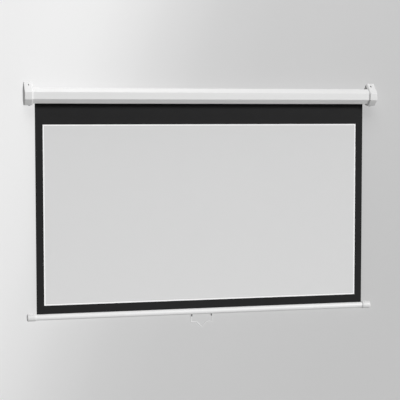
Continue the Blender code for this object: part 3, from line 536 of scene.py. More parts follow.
def oiled_steel():
    """Dark spring steel with drawing marks and an uneven film of oil."""
    made, tree, shader = new_material("oiled_spring_steel")
    grain = place_group(tree, FINE_GRAIN, grain_size=0.0003, patch_size=0.02)
    oiled = blend(tree, SPRING_STEEL, OIL_FILM, grain["Patches"])
    rough = spread(tree, grain["Patches"], *OIL_ROUGHNESS)
    finish(shader, oiled, rough, grain["Height"], depth=0.00001, strength=0.6, metallic=1.0)
    return made


def moulded(name, colour, shade, roughness, grain_size, depth):
    """Moulded plastic: spark-eroded grain, slow tone changes, paler rubbed edges."""
    made, tree, shader = new_material(name)
    grain = place_group(tree, FINE_GRAIN, grain_size=grain_size, patch_size=0.03)
    rub = place_group(tree, EDGE_RUB, sharpest=0.60)
    paler = tuple(min(1.0, channel * 1.1 + 0.01) for channel in colour)
    even = blend(tree, colour, shade, grain["Patches"])
    rubbed = blend(tree, even, paler, rub["Mask"])
    rough = spread(tree, grain["Height"], roughness - 0.05, roughness + 0.08)
    finish(shader, rubbed, rough, grain["Height"], depth, strength=0.7)
    return made


def wire_along(name, points, radius, rings=WIRE_RINGS):
    """Round wire through points, with filled ends."""
    line = bpy.data.curves.new(name, "CURVE")
    line.dimensions = "3D"
    line.bevel_depth = radius
    line.bevel_resolution = rings
    line.use_fill_caps = True
    spline = line.splines.new("POLY")
    spline.points.add(len(points) - 1)
    for point, place in zip(spline.points, points):
        point.co = (*place, 1)
    drawn = add_object("drawn_line", line)
    made = bmesh.new()
    made.from_mesh(mesh_as_shown(drawn))
    bpy.data.objects.remove(drawn, do_unlink=True)
    bmesh.ops.remove_doubles(made, verts=made.verts, dist=SAME_POINT)
    return piece_from(name, made)


def spring_line():
    """Helix between the box's two ends, with a short leg along the rod at each."""
    radius = (spring_high.z - spring_low.z) / 2 - SPRING_WIRE
    first = spring_low.x + SPRING_LEG
    rise = (spring_high.x - spring_low.x - 2 * SPRING_LEG) / SPRING_TURNS
    line = [Vector((first + rise * turn, *point_at(ROLLER_AXIS, radius, 360 * turn)))
            for turn in steps_between(0, SPRING_TURNS, SPRING_TURNS * COIL_STEPS)]
    line.insert(0, Vector((spring_low.x, line[0].y, line[0].z)))
    line.append(Vector((spring_high.x, line[-1].y, line[-1].z)))
    return line


OILED_STEEL = oiled_steel()
NATURAL_NYLON = moulded("natural_nylon", NYLON, NYLON_SHADE, roughness=0.45,
                        grain_size=0.0006, depth=0.00001)
DARK_MOULDING = moulded("dark_moulding", DARK_PLASTIC, DARK_SHADE, roughness=0.5,
                        grain_size=0.0004, depth=0.00002)
dress(ZINC_PLATE, "spring_rod")
dress(OILED_STEEL, "ratchet_collar")
dress(NATURAL_NYLON, "idle_bush", "shaft_bush")
dress(DARK_MOULDING, "spring_anchor")
spring = wire_along("torsion_spring_coil", spring_line(), SPRING_WIRE)
settle(spring, "roller", OILED_STEEL, "torsion_spring")


# Roller
# A galvanised steel tube with a plastic plug in its left end, which turns on a pin,
# and a plastic head in its right end that carries two pressed steel pawls.

GALVANISED = (0.50, 0.51, 0.52)
BRIGHT_CRYSTAL = (0.66, 0.67, 0.68)
CRYSTALS_PER_METRE = 160
CRYSTAL_ROUGHNESS = (0.30, 0.52)


def galvanised():
    """Hot-dip zinc with its spangle of dull and bright crystals."""
    made, tree, shader = new_material("galvanised_steel")
    spangle = on_object(tree, "ShaderNodeTexVoronoi")
    spangle.inputs["Scale"].default_value = CRYSTALS_PER_METRE
    split = tree.nodes.new("ShaderNodeSeparateColor")
    feed(spangle.outputs["Color"], split.inputs["Color"])
    crystal = split.outputs["Red"]
    grain = place_group(tree, FINE_GRAIN, grain_size=0.0006, patch_size=0.05)
    bright = blend(tree, GALVANISED, BRIGHT_CRYSTAL, crystal)
    rough = spread(tree, crystal, *CRYSTAL_ROUGHNESS)
    finish(shader, bright, rough, grain["Height"], depth=0.00001, strength=0.5, metallic=1.0)
    return made


dress(galvanised(), "roller_tube")
dress(DARK_MOULDING, "idle_plug", "ratchet_head")
dress(ZINC_PLATE, "idle_pin", "front_pawl", "rear_pawl", "front_pawl_pin", "rear_pawl_pin")


# Cloth
# One matt cloth, 0.4 mm thick and black at the back. Two turns stay on the roller, and it
# hangs down behind the slot: a picture in printed black borders, with a taller drop above.

CLOTH_THICKNESS = 0.0004
SIDE_BORDER = 0.030
BOTTOM_BORDER = 0.0333
TOP_DROP = 0.0835
OVERPRINT = 0.001
BARE_RIM = 0.005
CLOTH_WAVE = 0.0008
WAVES_ACROSS = 2.2
WAVES_DOWN = 1.1
EDGE_WAVE = 0.9
EDGE_WAVES_DOWN = 5
EDGE_GATHER = 8
CLOTH_COLUMNS = 120
CLOTH_ROWS = 70
BORDER_COLUMNS = 4
DROP_ROWS = 16
TURNS_LEFT_ON = 2
ROLL_STEPS = 48
ROLL_COLUMNS = 20
HEM_OVERLAP = 0.008
HEM_TAIL = (0.15, 1.0)
HEM_STEPS = 24
FOOT_ROWS = 6
FOOT_COLUMNS = 40
UNEVEN_SIZE = 1 / 90
TONE_SIZE = 1 / 14
VIEWING_GREY = (0.65, 0.65, 0.65)
BARE_WHITE = (0.90, 0.90, 0.90)
PRINTED_BLACK = (0.013, 0.013, 0.0133)
BACK_BLACK = (0.016, 0.016, 0.017)

bar_low, bar_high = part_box("hem_bar_tube")
hem_low, hem_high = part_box("cloth_hem")
PICTURE_BOTTOM = bar_high.z + BOTTOM_BORDER
CLOTH_END = cloth_high.x
CLOTH_FRONT = CLOTH_Y - CLOTH_THICKNESS / 2
HANGING_LENGTH = ROLLER_Z - PICTURE_BOTTOM
INK_BOTTOM = PICTURE_BOTTOM + OVERPRINT
INK_TOP = case_low.z - TOP_DROP - OVERPRINT
INK_SIDE = CLOTH_END - SIDE_BORDER - OVERPRINT


def build_woven_cloth():
    """Plain weave: threads that cross over and under, uneven in width and tone."""
    group, given, result = new_group("woven_cloth", {"Thread": 0.0005}, ["Height", "Tone"])
    parts = on_object(group, "ShaderNodeSeparateXYZ")
    per_metre = calculate(group, "DIVIDE", pi, given.outputs["Thread"])
    waves = [calculate(group, "SINE", calculate(group, "MULTIPLY", parts.outputs[axis], per_metre))
             for axis in ("X", "Z")]
    crossing = calculate(group, "MULTIPLY", *waves)
    height = calculate(group, "MULTIPLY_ADD", crossing, 0.35, 0.5)
    uneven = noise_field(group, UNEVEN_SIZE, 4.0)
    feed(calculate(group, "MULTIPLY_ADD", uneven, 0.3, height), result.inputs["Height"])
    feed(noise_field(group, TONE_SIZE, 5.0), result.inputs["Tone"])
    return group


WOVEN_CLOTH = build_woven_cloth()


def shade_of(colour, share):
    """The same colour, darker or lighter by a share."""
    return tuple(channel * share for channel in colour)


def woven(name, colour, shade, roughness, depth, thread=0.0005, sheen=0.0):
    """Matt cloth: plain weave under its coat, with slow changes of tone."""
    made, tree, shader = new_material(name)
    weave = place_group(tree, WOVEN_CLOTH, thread=thread)
    tone = blend(tree, colour, shade_of(colour, shade), weave["Tone"])
    rough = spread(tree, weave["Height"], roughness - 0.05, roughness + 0.05)
    finish(shader, tone, rough, weave["Height"], depth, strength=0.6)
    shader.inputs["Sheen Weight"].default_value = sheen
    shader.inputs["Sheen Roughness"].default_value = 0.5
    shader.inputs["Specular IOR Level"].default_value = 0.15
    return made


CLOTH_COATS = [
    woven("printed_black", PRINTED_BLACK, shade=1.2, roughness=0.75, depth=0.00004),
    woven("viewing_coat", VIEWING_GREY, shade=0.985, roughness=0.85, depth=0.00002),
    woven("bare_white_cloth", BARE_WHITE, shade=0.985, roughness=0.85, depth=0.00003),
    woven("black_backing", BACK_BLACK, shade=1.3, roughness=0.80, depth=0.00006,
          thread=0.0007, sheen=0.05),
]
BORDER_SLOT, PICTURE_SLOT, RIM_SLOT, BACK_SLOT = range(4)


def cloth_stations():
    """Columns across the cloth, with one on each printed line."""
    picture = steps_between(-INK_SIDE + BARE_RIM, INK_SIDE - BARE_RIM, CLOTH_COLUMNS)
    left = steps_between(-CLOTH_END, -INK_SIDE, BORDER_COLUMNS)
    right = steps_between(INK_SIDE, CLOTH_END, BORDER_COLUMNS)
    return left + picture + right


def cloth_levels():
    """Rows of the hanging cloth from the roller down to the picture's foot."""
    drop = steps_between(ROLLER_Z, INK_TOP, DROP_ROWS)
    picture = steps_between(INK_TOP - BARE_RIM, INK_BOTTOM + BARE_RIM, CLOTH_ROWS)
    return drop + picture + [INK_BOTTOM, PICTURE_BOTTOM]


def hanging_wave(x, z):
    """How far the cloth stands off its plane: nothing at its head and foot."""
    free = sin(pi * (ROLLER_Z - z) / HANGING_LENGTH)
    slow = noise.noise(Vector((x * WAVES_ACROSS, z * WAVES_DOWN, 3.0)))
    quick = noise.noise(Vector((x, z * EDGE_WAVES_DOWN, 8.0)))
    edge = (abs(x) / CLOTH_END) ** EDGE_GATHER
    return CLOTH_WAVE * free * (slow + EDGE_WAVE * edge * quick)


def print_cloth(piece):
    """Give each face its print: the border's ink laps over the picture's edge, and the
    picture's grey viewing coat leaves a rim of bare white cloth inside it."""
    for coat in CLOTH_COATS:
        piece.data.materials.append(coat)
    for face in piece.data.polygons:
        across = INK_SIDE - abs(face.center.x)
        inside = min(across, INK_TOP - face.center.z, face.center.z - INK_BOTTOM)
        if face.normal.y > -0.5:
            face.material_index = BACK_SLOT
        elif inside < 0:
            face.material_index = BORDER_SLOT
        else:
            face.material_index = RIM_SLOT if inside < BARE_RIM else PICTURE_SLOT


hanging = ribbon("hanging_cloth", [(CLOTH_FRONT, z) for z in cloth_levels()],
                 cloth_stations())
for vertex in hanging.data.vertices:
    vertex.co.y += hanging_wave(vertex.co.x, vertex.co.z)
thicken(hanging, CLOTH_THICKNESS)
print_cloth(hanging)
settle(hanging, "housing", None, "cloth_sheet")
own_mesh(hanging)


def foot_line():
    """Cloth below the picture: into the bar, round the hem rod and back up itself."""
    hem_z = (hem_low.z + hem_high.z) / 2
    radius = (hem_high.z - hem_low.z) / 2 - CLOTH_THICKNESS / 2
    lean = degrees(atan2(CLOTH_THICKNESS, radius))
    straight = [(CLOTH_FRONT, z) for z in steps_between(PICTURE_BOTTOM, bar_high.z, FOOT_ROWS)]
    loop = arc((CLOTH_Y, hem_z), radius, 90 + 2 * lean, 450 - 2 * lean, HEM_STEPS)
    tail = [(CLOTH_Y + CLOTH_THICKNESS, hem_z + radius + HEM_OVERLAP * share)
            for share in HEM_TAIL]
    return straight + loop + tail


foot = ribbon("hem_cloth", foot_line(), steps_between(-CLOTH_END, CLOTH_END, FOOT_COLUMNS))
thicken(foot, CLOTH_THICKNESS)
foot.data.materials.append(CLOTH_COATS[BORDER_SLOT])
foot.data.materials.append(CLOTH_COATS[BACK_SLOT])
for face in foot.data.polygons:
    face.material_index = 0 if face.normal.y < -0.5 else 1
settle(foot, "screen", None, "cloth_hem")


def roll_line():
    """Spiral from the back of the roller inwards, over its top."""
    outer = CLOTH_Y - ROLLER_Y
    inner = (roller_high.z - roller_low.z) / 2 + CLOTH_THICKNESS
    return [point_at(ROLLER_AXIS, outer + (inner - outer) * share, 360 * TURNS_LEFT_ON * share)
            for share in steps_between(0, 1, TURNS_LEFT_ON * ROLL_STEPS)]


roll = ribbon("cloth_roll", roll_line(), steps_between(-CLOTH_END, CLOTH_END, ROLL_COLUMNS))
thicken(roll, CLOTH_THICKNESS)
settle(roll, "roller", CLOTH_COATS[BACK_SLOT], "cloth_wraps")


# Hem rod and bar
# A thin zinc-plated rod fills the cloth's bottom pocket and hangs just inside the slot
# of a white coated steel tube. A round moulded cap covers each end of the tube.

BAR_WALL = 0.0012
BAR_SLOT = 0.003
BAR_STEPS = 72
SLOT_EDGE_STEPS = 6
CAP_ROUNDING = 0.005
CAP_ROUNDING_STEPS = 10
CAP_LIP_LENGTH = 0.0045
CAP_LIP_DROP = 0.002
CAP_LIP_STEPS = 8
CAP_END_WALL = 0.0025
SOCKET_PLAY = 0.0003
CAP_WHITE = (0.69, 0.69, 0.69)
CAP_SHADE = (0.67, 0.67, 0.665)
BAR_Z = (bar_low.z + bar_high.z) / 2
BAR_RADIUS = (bar_high.z - bar_low.z) / 2


def bar_line():
    """Outline of the slotted tube, with rounded edges at the slot, in Y and Z."""
    middle = (CLOTH_Y, BAR_Z)
    inner = BAR_RADIUS - BAR_WALL
    edge = BAR_WALL / 2
    ring = BAR_RADIUS - edge
    lean = degrees(atan2(BAR_SLOT / 2 + edge, ring))
    result = arc(middle, BAR_RADIUS, 90 + lean, 450 - lean, BAR_STEPS)
    right = point_at(middle, ring, 90 - lean)
    result += arc(right, edge, 90 - lean, 270 - lean, SLOT_EDGE_STEPS)[1:-1]
    result += arc(middle, inner, 450 - lean, 90 + lean, BAR_STEPS)
    left = point_at(middle, ring, 90 + lean)
    result += arc(left, edge, 270 + lean, 90 + lean, SLOT_EDGE_STEPS)[1:-1]
    return result


def loft(name, sections, along=0):
    """Closed solid through outlines with as many points each. A section is its place on
    X, or on Y if along is 1, and its outline in the other two directions."""
    made = bmesh.new()
    rows = []
    for level, outline in sections:
        rows.append([])
        for spot in outline:
            place = list(spot)
            place.insert(along, level)
            rows[-1].append(made.verts.new(place))
    for here, after in zip(rows, rows[1:]):
        for i in range(len(here)):
            j = (i + 1) % len(here)
            made.faces.new((here[i], here[j], after[j], after[i]))
    made.faces.new(rows[0])
    made.faces.new(rows[-1])
    bmesh.ops.recalc_face_normals(made, faces=made.faces)
    return piece_from(name, made)


def bar_cap(name, node, way):
    """Round cap with a soft outer edge, bored to slip over the tube's end."""
    low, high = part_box(node)
    radius = (high.z - low.z) / 2
    length = high.x - low.x
    bore = BAR_RADIUS + SOCKET_PLAY
    mouth = (low.x if way > 0 else high.x, CLOTH_Y, (low.z + high.z) / 2)
    profile = [(0, length)]
    profile += arc((radius - CAP_ROUNDING, length - CAP_ROUNDING), CAP_ROUNDING, 90, 0,
                   CAP_ROUNDING_STEPS)
    profile += [(radius - CAP_LIP_DROP * (1 - lip.x), CAP_LIP_LENGTH * (1 - lip.y))
                for lip in arc((0, 0), 1, 0, 90, CAP_LIP_STEPS)]
    profile += [(bore, 0), (bore, length - CAP_END_WALL), (0, length - CAP_END_WALL)]
    return turned(name, profile, mouth, (way, 0, 0), BAR_STEPS)


WHITE_MOULDING = moulded("white_moulding", CAP_WHITE, CAP_SHADE, roughness=0.46,
                         grain_size=0.0005, depth=0.00002)
dress(ZINC_PLATE, "hem_rod")
bar = loft("slotted_bar", [(x, bar_line()) for x in (bar_low.x, bar_high.x)])
settle(bar, "screen", WHITE_COAT, "hem_bar_tube")
for side, way in (("left", -1), ("right", 1)):
    node = side + "_bar_cap"
    settle(bar_cap(node + "_moulded", node, way), "screen", WHITE_MOULDING, node)


# Handle ears and pull handle
# Two small dark clips plug into the underside of the bar and carry a bail of thin white
# coated wire: straight legs, two shoulders and a V to pull by. It swings freely.

HANDLE_WIRE = 0.0016
HANDLE_PIN = 0.008
HANDLE_LEG = 0.0275
HANDLE_BEND = 0.004
V_WIDTH = 0.043
HANDLE_RINGS = 6
EAR_SOFT_EDGE = 0.0005
EAR_SOFT_STEPS = 3
EAR_CORNER = 50
EAR_RADIUS = 0.0042
EAR_STEPS = 20

handle_low, handle_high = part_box("pull_handle")
PIVOT_Z = handle_high.z - HANDLE_WIRE
HANDLE_X = (handle_low.x + handle_high.x) / 2


def handle_line():
    """Centre line of the bail, from one pin in its ear round to the other."""
    half = (handle_high.x - handle_low.x) / 2 - HANDLE_WIRE
    depth = PIVOT_Z - handle_low.z - HANDLE_WIRE
    corners = [(-half + HANDLE_PIN, 0), (-half, 0), (-half, -HANDLE_LEG),
               (-V_WIDTH / 2, -HANDLE_LEG), (0, -depth), (V_WIDTH / 2, -HANDLE_LEG),
               (half, -HANDLE_LEG), (half, 0), (half - HANDLE_PIN, 0)]
    radii = bends(corners, HANDLE_WIRE + SOCKET_PLAY, HANDLE_BEND)
    return [(HANDLE_X + x, CLOTH_Y, PIVOT_Z + z)
            for x, z in rounded(corners, radii, closed=False)]


def ear(name, node):
    """Clip that is round below the pin and fits the underside of the bar."""
    low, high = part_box(node)
    middle = (CLOTH_Y, PIVOT_Z)
    top = bar_low.z + EAR_RADIUS / 2
    outline = arc(middle, EAR_RADIUS, 180, 360, EAR_STEPS)
    outline += [(CLOTH_Y + EAR_RADIUS, top), (CLOTH_Y - EAR_RADIUS, top)]
    clip = loft(name, [(x, outline) for x in (low.x, high.x)])
    soft = clip.modifiers.new("soft_edges", "BEVEL")
    soft.width = EAR_SOFT_EDGE
    soft.segments = EAR_SOFT_STEPS
    soft.limit_method = "ANGLE"
    soft.angle_limit = radians(EAR_CORNER)
    width = high.x - low.x
    seat = peg("bar_seat", BAR_RADIUS + SOCKET_PLAY, (low.x - width, CLOTH_Y, BAR_Z),
               (1, 0, 0), 3 * width, BAR_STEPS)
    pin = peg("pin_hole", HANDLE_WIRE + SOCKET_PLAY, (low.x - width, CLOTH_Y, PIVOT_Z),
              (1, 0, 0), 3 * width)
    return shape_with(clip, "DIFFERENCE", seat, pin)


for side in ("left", "right"):
    node = side + "_handle_ear"
    settle(ear(node + "_clip", node), "screen", DARK_MOULDING, node)
handle = wire_along("pull_handle_wire", handle_line(), HANDLE_WIRE, HANDLE_RINGS)
settle(handle, "handle", WHITE_COAT, "pull_handle")


# End caps
# White moulded caps with a gable on top, open towards the case. Each has a socket for
# the case, bosses for the plate's screws, a keyhole at the back and an eye in the gable.

MOULD_WALL = 0.0025
MOULD_CORNER = 0.0025
MOULD_EDGE = 0.0022
MOULD_CHAMFER = 0.023
PEAK_WIDTH = 0.007
PEAK_TO_WALL = 0.0315
EYE_RADIUS = 0.004
EYE_WALL = 0.002
EYE_BELOW_PEAK = 0.012
KEY_MOUTH = 0.0048
KEY_SLOT = 0.0046
KEY_DROP = 0.010
KEY_MOUTH_STEPS = 28
KEY_SLOT_STEPS = 12
BOSS_WALL = 0.0022
CAP_SHANK = 0.00175
CAP_HEAD_DOME = 0.0008
EYE_STEPS = 48
LIP_LENGTH = 0.0055
LIP_DROP = 0.0047
LIP_SOFT_EDGE = 0.0012
LIP_EDGE_STEPS = 4
SKIN_STEPS = 6
SKIN_SHARE = 0.8
FLOOR_SHARE = 0.4
# Painted shade: the darker grey of the caps' hollow insides stands in for shade in the deep
# hollow.
CAP_HOLLOW_SHADE_GREY = (0.34, 0.34, 0.34)
CASE_SIDES = [Vector(corner) for corner in eight_sides(case_low, case_high, CASE_CHAMFER)]


def gable_outline(low, high):
    """Cap seen along X, in Y and Z: eight sides with a gable on top."""
    peak = high.y - PEAK_TO_WALL
    front_peak = peak - PEAK_WIDTH / 2
    back_peak = peak + PEAK_WIDTH / 2
    return [Vector(corner) for corner in (
        (high.y - MOULD_CHAMFER, low.z), (high.y, low.z + MOULD_CHAMFER),
        (high.y, high.z - (high.y - back_peak)), (back_peak, high.z),
        (front_peak, high.z), (low.y, high.z - (front_peak - low.y)),
        (low.y, low.z + MOULD_CHAMFER), (low.y + MOULD_CHAMFER, low.z))]


def grown(outline, distance):
    """Move each side of a convex outline outwards, or inwards if negative."""
    moved = []
    for i, here in enumerate(outline):
        into = (here - outline[i - 1]).normalized()
        out_of = (outline[(i + 1) % len(outline)] - here).normalized()
        side = Vector((into.y, -into.x))
        half = (side + Vector((out_of.y, -out_of.x))).normalized()
        moved.append(here + half * (distance / half.dot(side)))
    return moved


def keyhole_tool(x, y):
    """Keyhole through the cap's back: a round mouth with a slot above it."""
    half = KEY_SLOT / 2
    lean = degrees(atan2(half, KEY_MOUTH))
    outline = arc((x, -KEY_DROP), KEY_MOUTH, 90 + lean, 450 - lean, KEY_MOUTH_STEPS)
    outline += arc((x, 0), half, 0, 180, KEY_SLOT_STEPS)
    return loft("keyhole", [(y - 2 * MOULD_WALL, outline), (y + MOULD_WALL, outline)], along=1)


def cap_block(name, outline, mouth, outer, way):
    """Outside of a cap: it narrows in a lip towards the case it holds."""
    length = abs(outer - mouth)
    corners = [(0, LIP_DROP), (LIP_LENGTH, 0), (length, 0), (length, MOULD_EDGE)]
    radii = [0, LIP_SOFT_EDGE, MOULD_EDGE, 0]
    skin = with_flats(rounded(corners, radii, LIP_EDGE_STEPS, closed=False)[:-1], SKIN_STEPS)
    return loft(name, [(mouth + way * inwards, rounded(grown(outline, -drop), MOULD_CORNER))
                       for inwards, drop in skin])


def eye_peg(name, low, high, radius):
    """Round tool through the gable, from in front of the cap to behind it."""
    start = ((low.x + high.x) / 2, low.y - MOULD_WALL, high.z - EYE_BELOW_PEAK)
    return peg(name, radius, start, (0, 1, 0), high.y - low.y + 2 * MOULD_WALL, EYE_STEPS)


def cap_pocket(low, high, way, mouth, floor):
    """Hollow between the cap's skin and the socket that holds the case."""
    reach = way * MOULD_WALL
    outline = gable_outline(low, high)
    tight = rounded(grown(outline, -MOULD_WALL - LIP_DROP), MOULD_EDGE)
    wide = rounded(grown(outline, -MOULD_WALL), MOULD_EDGE)
    hollow = loft("hollow", [(mouth - reach, tight), (mouth, tight),
                             (mouth + way * LIP_LENGTH, wide), (floor, wide)])
    wall = grown(CASE_SIDES, SOCKET_PLAY + MOULD_WALL)
    core = loft("socket_wall", [(mouth - 2 * reach, wall), (floor + reach, wall)])
    eye_boss = eye_peg("eye_boss", low, high, EYE_RADIUS + EYE_WALL)
    return shape_with(hollow, "DIFFERENCE", core, eye_boss)


def end_cap(name, node, way):
    """Moulded cap: block, hollow, socket, screw bosses, keyhole, eye and screw hole."""
    low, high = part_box(node)
    mouth = low.x if way > 0 else high.x
    outer = high.x if way > 0 else low.x
    floor = outer - way * MOULD_WALL
    cap = cap_block(name, gable_outline(low, high), mouth, outer, way)
    inside = grown(CASE_SIDES, SOCKET_PLAY)
    socket = loft("socket", [(mouth - way * MOULD_WALL, inside), (floor, inside)])
    shape_with(cap, "DIFFERENCE", cap_pocket(low, high, way, mouth, floor), socket)
    plate_low, plate_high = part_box(node.replace("end_cap", "bracket_plate"))
    plate = plate_high.x if way > 0 else plate_low.x
    bore = BRACKET_SHANK + SOCKET_PLAY
    length = abs(floor - plate) - SOCKET_PLAY
    for level in ("upper", "lower"):
        screw_low, screw_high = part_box(node.replace("end_cap", "bracket_screw_" + level))
        start = Vector((plate, ROLLER_Y, (screw_low.z + screw_high.z) / 2))
        clear = start + Vector((way * SOCKET_PLAY, 0, 0))
        shape_with(cap, "UNION", peg("boss", bore + BOSS_WALL, clear, (way, 0, 0),
                                     length + MOULD_WALL / 2))
        shape_with(cap, "DIFFERENCE", peg("bore", bore, start, (way, 0, 0), length))
    screw_low, screw_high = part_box(node.replace("end_cap", "cap_screw"))
    below = ((screw_low.x + screw_high.x) / 2, ROLLER_Y, low.z - MOULD_WALL)
    hole = peg("screw_hole", CAP_SHANK + SOCKET_PLAY, below, (0, 0, 1), 4 * MOULD_WALL)
    return shape_with(cap, "DIFFERENCE", keyhole_tool((low.x + high.x) / 2, high.y),
                      eye_peg("eye", low, high, EYE_RADIUS), hole)


def paint_shade_inside(cap, node, way, coat):
    """Paint shade into the inside of a cap, but not its eye: a darker grey coat stands in for the
    shade in the deep hollow.
    """
    low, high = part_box(node)
    mouth = low.x if way > 0 else high.x
    outline = gable_outline(low, high)
    eye = Vector(((low.x + high.x) / 2, high.z - EYE_BELOW_PEAK))
    cap.data.materials.append(WHITE_MOULDING)
    cap.data.materials.append(coat)
    for face in cap.data.polygons:
        x, y, z = face.center
        depth = min((b - a).normalized().cross(Vector((y, z)) - a)
                    for a, b in zip(outline, outline[1:] + outline[:1]))
        inwards = abs(x - mouth)
        skin = LIP_DROP * max(0, 1 - inwards / LIP_LENGTH) + MOULD_WALL * SKIN_SHARE
        to_floor = high.x - low.x - inwards > MOULD_WALL * FLOOR_SHARE
        in_eye = (Vector((x, z)) - eye).length < EYE_RADIUS + EYE_WALL / 2
        face.material_index = int(depth > skin and to_floor and not in_eye)


# Painted shade for the caps' hollow insides, as a darker moulded grey.
PAINTED_HOLLOW_SHADE = moulded("unpolished_inside", CAP_HOLLOW_SHADE_GREY, shade_of(CAP_HOLLOW_SHADE_GREY, 0.9), roughness=0.6,
                 grain_size=0.0007, depth=0.00004)
for side, way in (("left", -1), ("right", 1)):
    node = side + "_end_cap"
    cap = end_cap(node + "_moulded", node, way)
    paint_shade_inside(cap, node, way, PAINTED_HOLLOW_SHADE)
    settle(cap, "housing", None, node)
    node = side + "_cap_screw"
    screw = cross_head_screw(node + "_cross_head", node, (0, 0, 1), CAP_HEAD_DOME, CAP_SHANK)
    settle(screw, "housing", ZINC_PLATE, node)


# Room
# A pale wall that the caps hang on, with painted light: it glows brighter to the left, and a pale
# floor.
# Both are clear from behind, so that the back of the screen can be looked at.

AIM = Vector((0, 0, -0.45))
WALL_PLAY = 0.0006
WALL_SIDE = 8.0
WALL_FOOT = -4.0
WALL_TOP = 5.0
FLOOR_Z = -1.6
FLOOR_REACH = 8.0
FLOOR_GREY = (0.52, 0.52, 0.515)
FLOOR_SHADE = (0.49, 0.49, 0.485)
WALL_GREY = (0.36, 0.36, 0.36)
WALL_SPAN = 1.2
WALL_LEAN = 0.35
WALL_RISE = 0.10
WALL_SPILL = 0.41
# Painted light: the wall's emission across its width, a pool of light that is stronger to the
# left.
WALL_GLOW = [(0.06, 0.645), (0.15, 0.652), (0.23, 0.62), (0.31, 0.541), (0.40, 0.461),
             (0.50, 0.419), (0.65, 0.403), (0.88, 0.386)]


def clear_from_behind(made, tree, shader, shadows):
    """Let rays through the back of a stage, and light rays through it if asked."""
    see_through = tree.nodes.new("ShaderNodeBsdfTransparent")
    mix = tree.nodes.new("ShaderNodeMixShader")
    geometry = tree.nodes.new("ShaderNodeNewGeometry")
    amount = geometry.outputs["Backfacing"]
    if shadows:
        path = tree.nodes.new("ShaderNodeLightPath")
        amount = calculate(tree, "MAXIMUM", amount, path.outputs["Is Shadow Ray"])
    feed(amount, mix.inputs["Fac"])
    feed(shader.outputs["BSDF"], mix.inputs[1])
    feed(see_through.outputs["BSDF"], mix.inputs[2])
    feed(mix.outputs["Shader"], tree.nodes["Material Output"].inputs["Surface"])
    return made


def wall_paint():
    """Flat emulsion with painted light: an emission glow stands in for a pool of light, stronger
    towards the upper left.
    """
    made, tree, shader = new_material("wall_paint")
    parts = on_object(tree, "ShaderNodeSeparateXYZ")
    level = calculate(tree, "ADD", parts.outputs["Z"], -AIM.z)
    across = calculate(tree, "MULTIPLY_ADD", level, -WALL_LEAN, parts.outputs["X"])
    share = calculate(tree, "MULTIPLY_ADD", across, 0.5 / WALL_SPAN, 0.5)
    ramp = tree.nodes.new("ShaderNodeValToRGB")
    ramp.color_ramp.interpolation = "CARDINAL"
    while len(ramp.color_ramp.elements) < len(WALL_GLOW):
        ramp.color_ramp.elements.new(0.5)
    for element, (position, glow) in zip(ramp.color_ramp.elements, WALL_GLOW):
        element.position = position
        element.color = (glow, glow, glow, 1.0)
    feed(share, ramp.inputs["Fac"])
    feed(ramp.outputs["Color"], shader.inputs["Emission Color"])
    path = tree.nodes.new("ShaderNodeLightPath")
    seen = spread(tree, path.outputs["Is Camera Ray"], WALL_SPILL, 1.0)
    rise = calculate(tree, "MULTIPLY_ADD", level, WALL_RISE, 1.0)
    feed(calculate(tree, "MULTIPLY", seen, rise), shader.inputs["Emission Strength"])
    grain = place_group(tree, FINE_GRAIN, grain_size=0.002, patch_size=0.3)
    tone = blend(tree, WALL_GREY, shade_of(WALL_GREY, 0.97), grain["Patches"])
    finish(shader, tone, 0.9, grain["Height"], depth=0.0001, strength=0.5)
    shader.inputs["Specular IOR Level"].default_value = 0.1
    return clear_from_behind(made, tree, shader, True)


def floor_paint():
    """Pale matt floor."""
    made, tree, shader = new_material("floor_paint")
    grain = place_group(tree, FINE_GRAIN, grain_size=0.004, patch_size=0.5)
    tone = blend(tree, FLOOR_GREY, FLOOR_SHADE, grain["Patches"])
    finish(shader, tone, 0.8, grain["Height"], depth=0.0002, strength=0.4)
    return clear_from_behind(made, tree, shader, False)


def plane(name, corners, coat):
    """Flat stage face whose front is the side that its corners turn left round."""
    made = bmesh.new()
    made.faces.new([made.verts.new(corner) for corner in corners])
    stage = piece_from(name, made)
    stage.data.materials.append(coat)
    return stage


wall = plane("wall", [(-WALL_SIDE, WALL_PLAY, WALL_FOOT), (WALL_SIDE, WALL_PLAY, WALL_FOOT),
                      (WALL_SIDE, WALL_PLAY, WALL_TOP), (-WALL_SIDE, WALL_PLAY, WALL_TOP)],
             wall_paint())
plane("floor", [(-WALL_SIDE, -FLOOR_REACH, FLOOR_Z), (WALL_SIDE, -FLOOR_REACH, FLOOR_Z),
                (WALL_SIDE, FLOOR_REACH, FLOOR_Z), (-WALL_SIDE, FLOOR_REACH, FLOOR_Z)],
      floor_paint())


# Light
# A wide soft key comes from the front right, with a lamp over the case and a weak one
# behind. The wall has its own high lamp, so that only soft shadows fall below the caps.

SUN_DISTANCE = 8
KEY_AZIMUTH = 36
KEY_HEIGHT = 22
KEY_WIDTH = 18
KEY_POWER = 3.18
WALL_LAMP_AZIMUTH = -12
WALL_LAMP_HEIGHT = 52
WALL_LAMP_WIDTH = 38
WALL_LAMP_POWER = 1.25
WALL_SHADERS = ("case_shell_folded", "left_end_cap_moulded", "right_end_cap_moulded")
TOP_FROM = (-0.2, -0.25, 2.6)
TOP_SIZE = 1.2
TOP_POWER = 24
BACK_FROM = (0.8, 4.5, 1.5)
BACK_SIZE = 3.0
BACK_POWER = 120
ROOM_LIGHT = 0.11
ROOM_TONE = 0.62
ROOM_COLOUR = (0.97, 0.98, 1.0, 1.0)


def put_light(name, lamp, place):
    """Light at a place, turned to face the screen."""
    light = add_object(name, lamp)
    light.location = place
    light.rotation_euler = (AIM - Vector(place)).to_track_quat("-Z", "Y").to_euler()
    return light


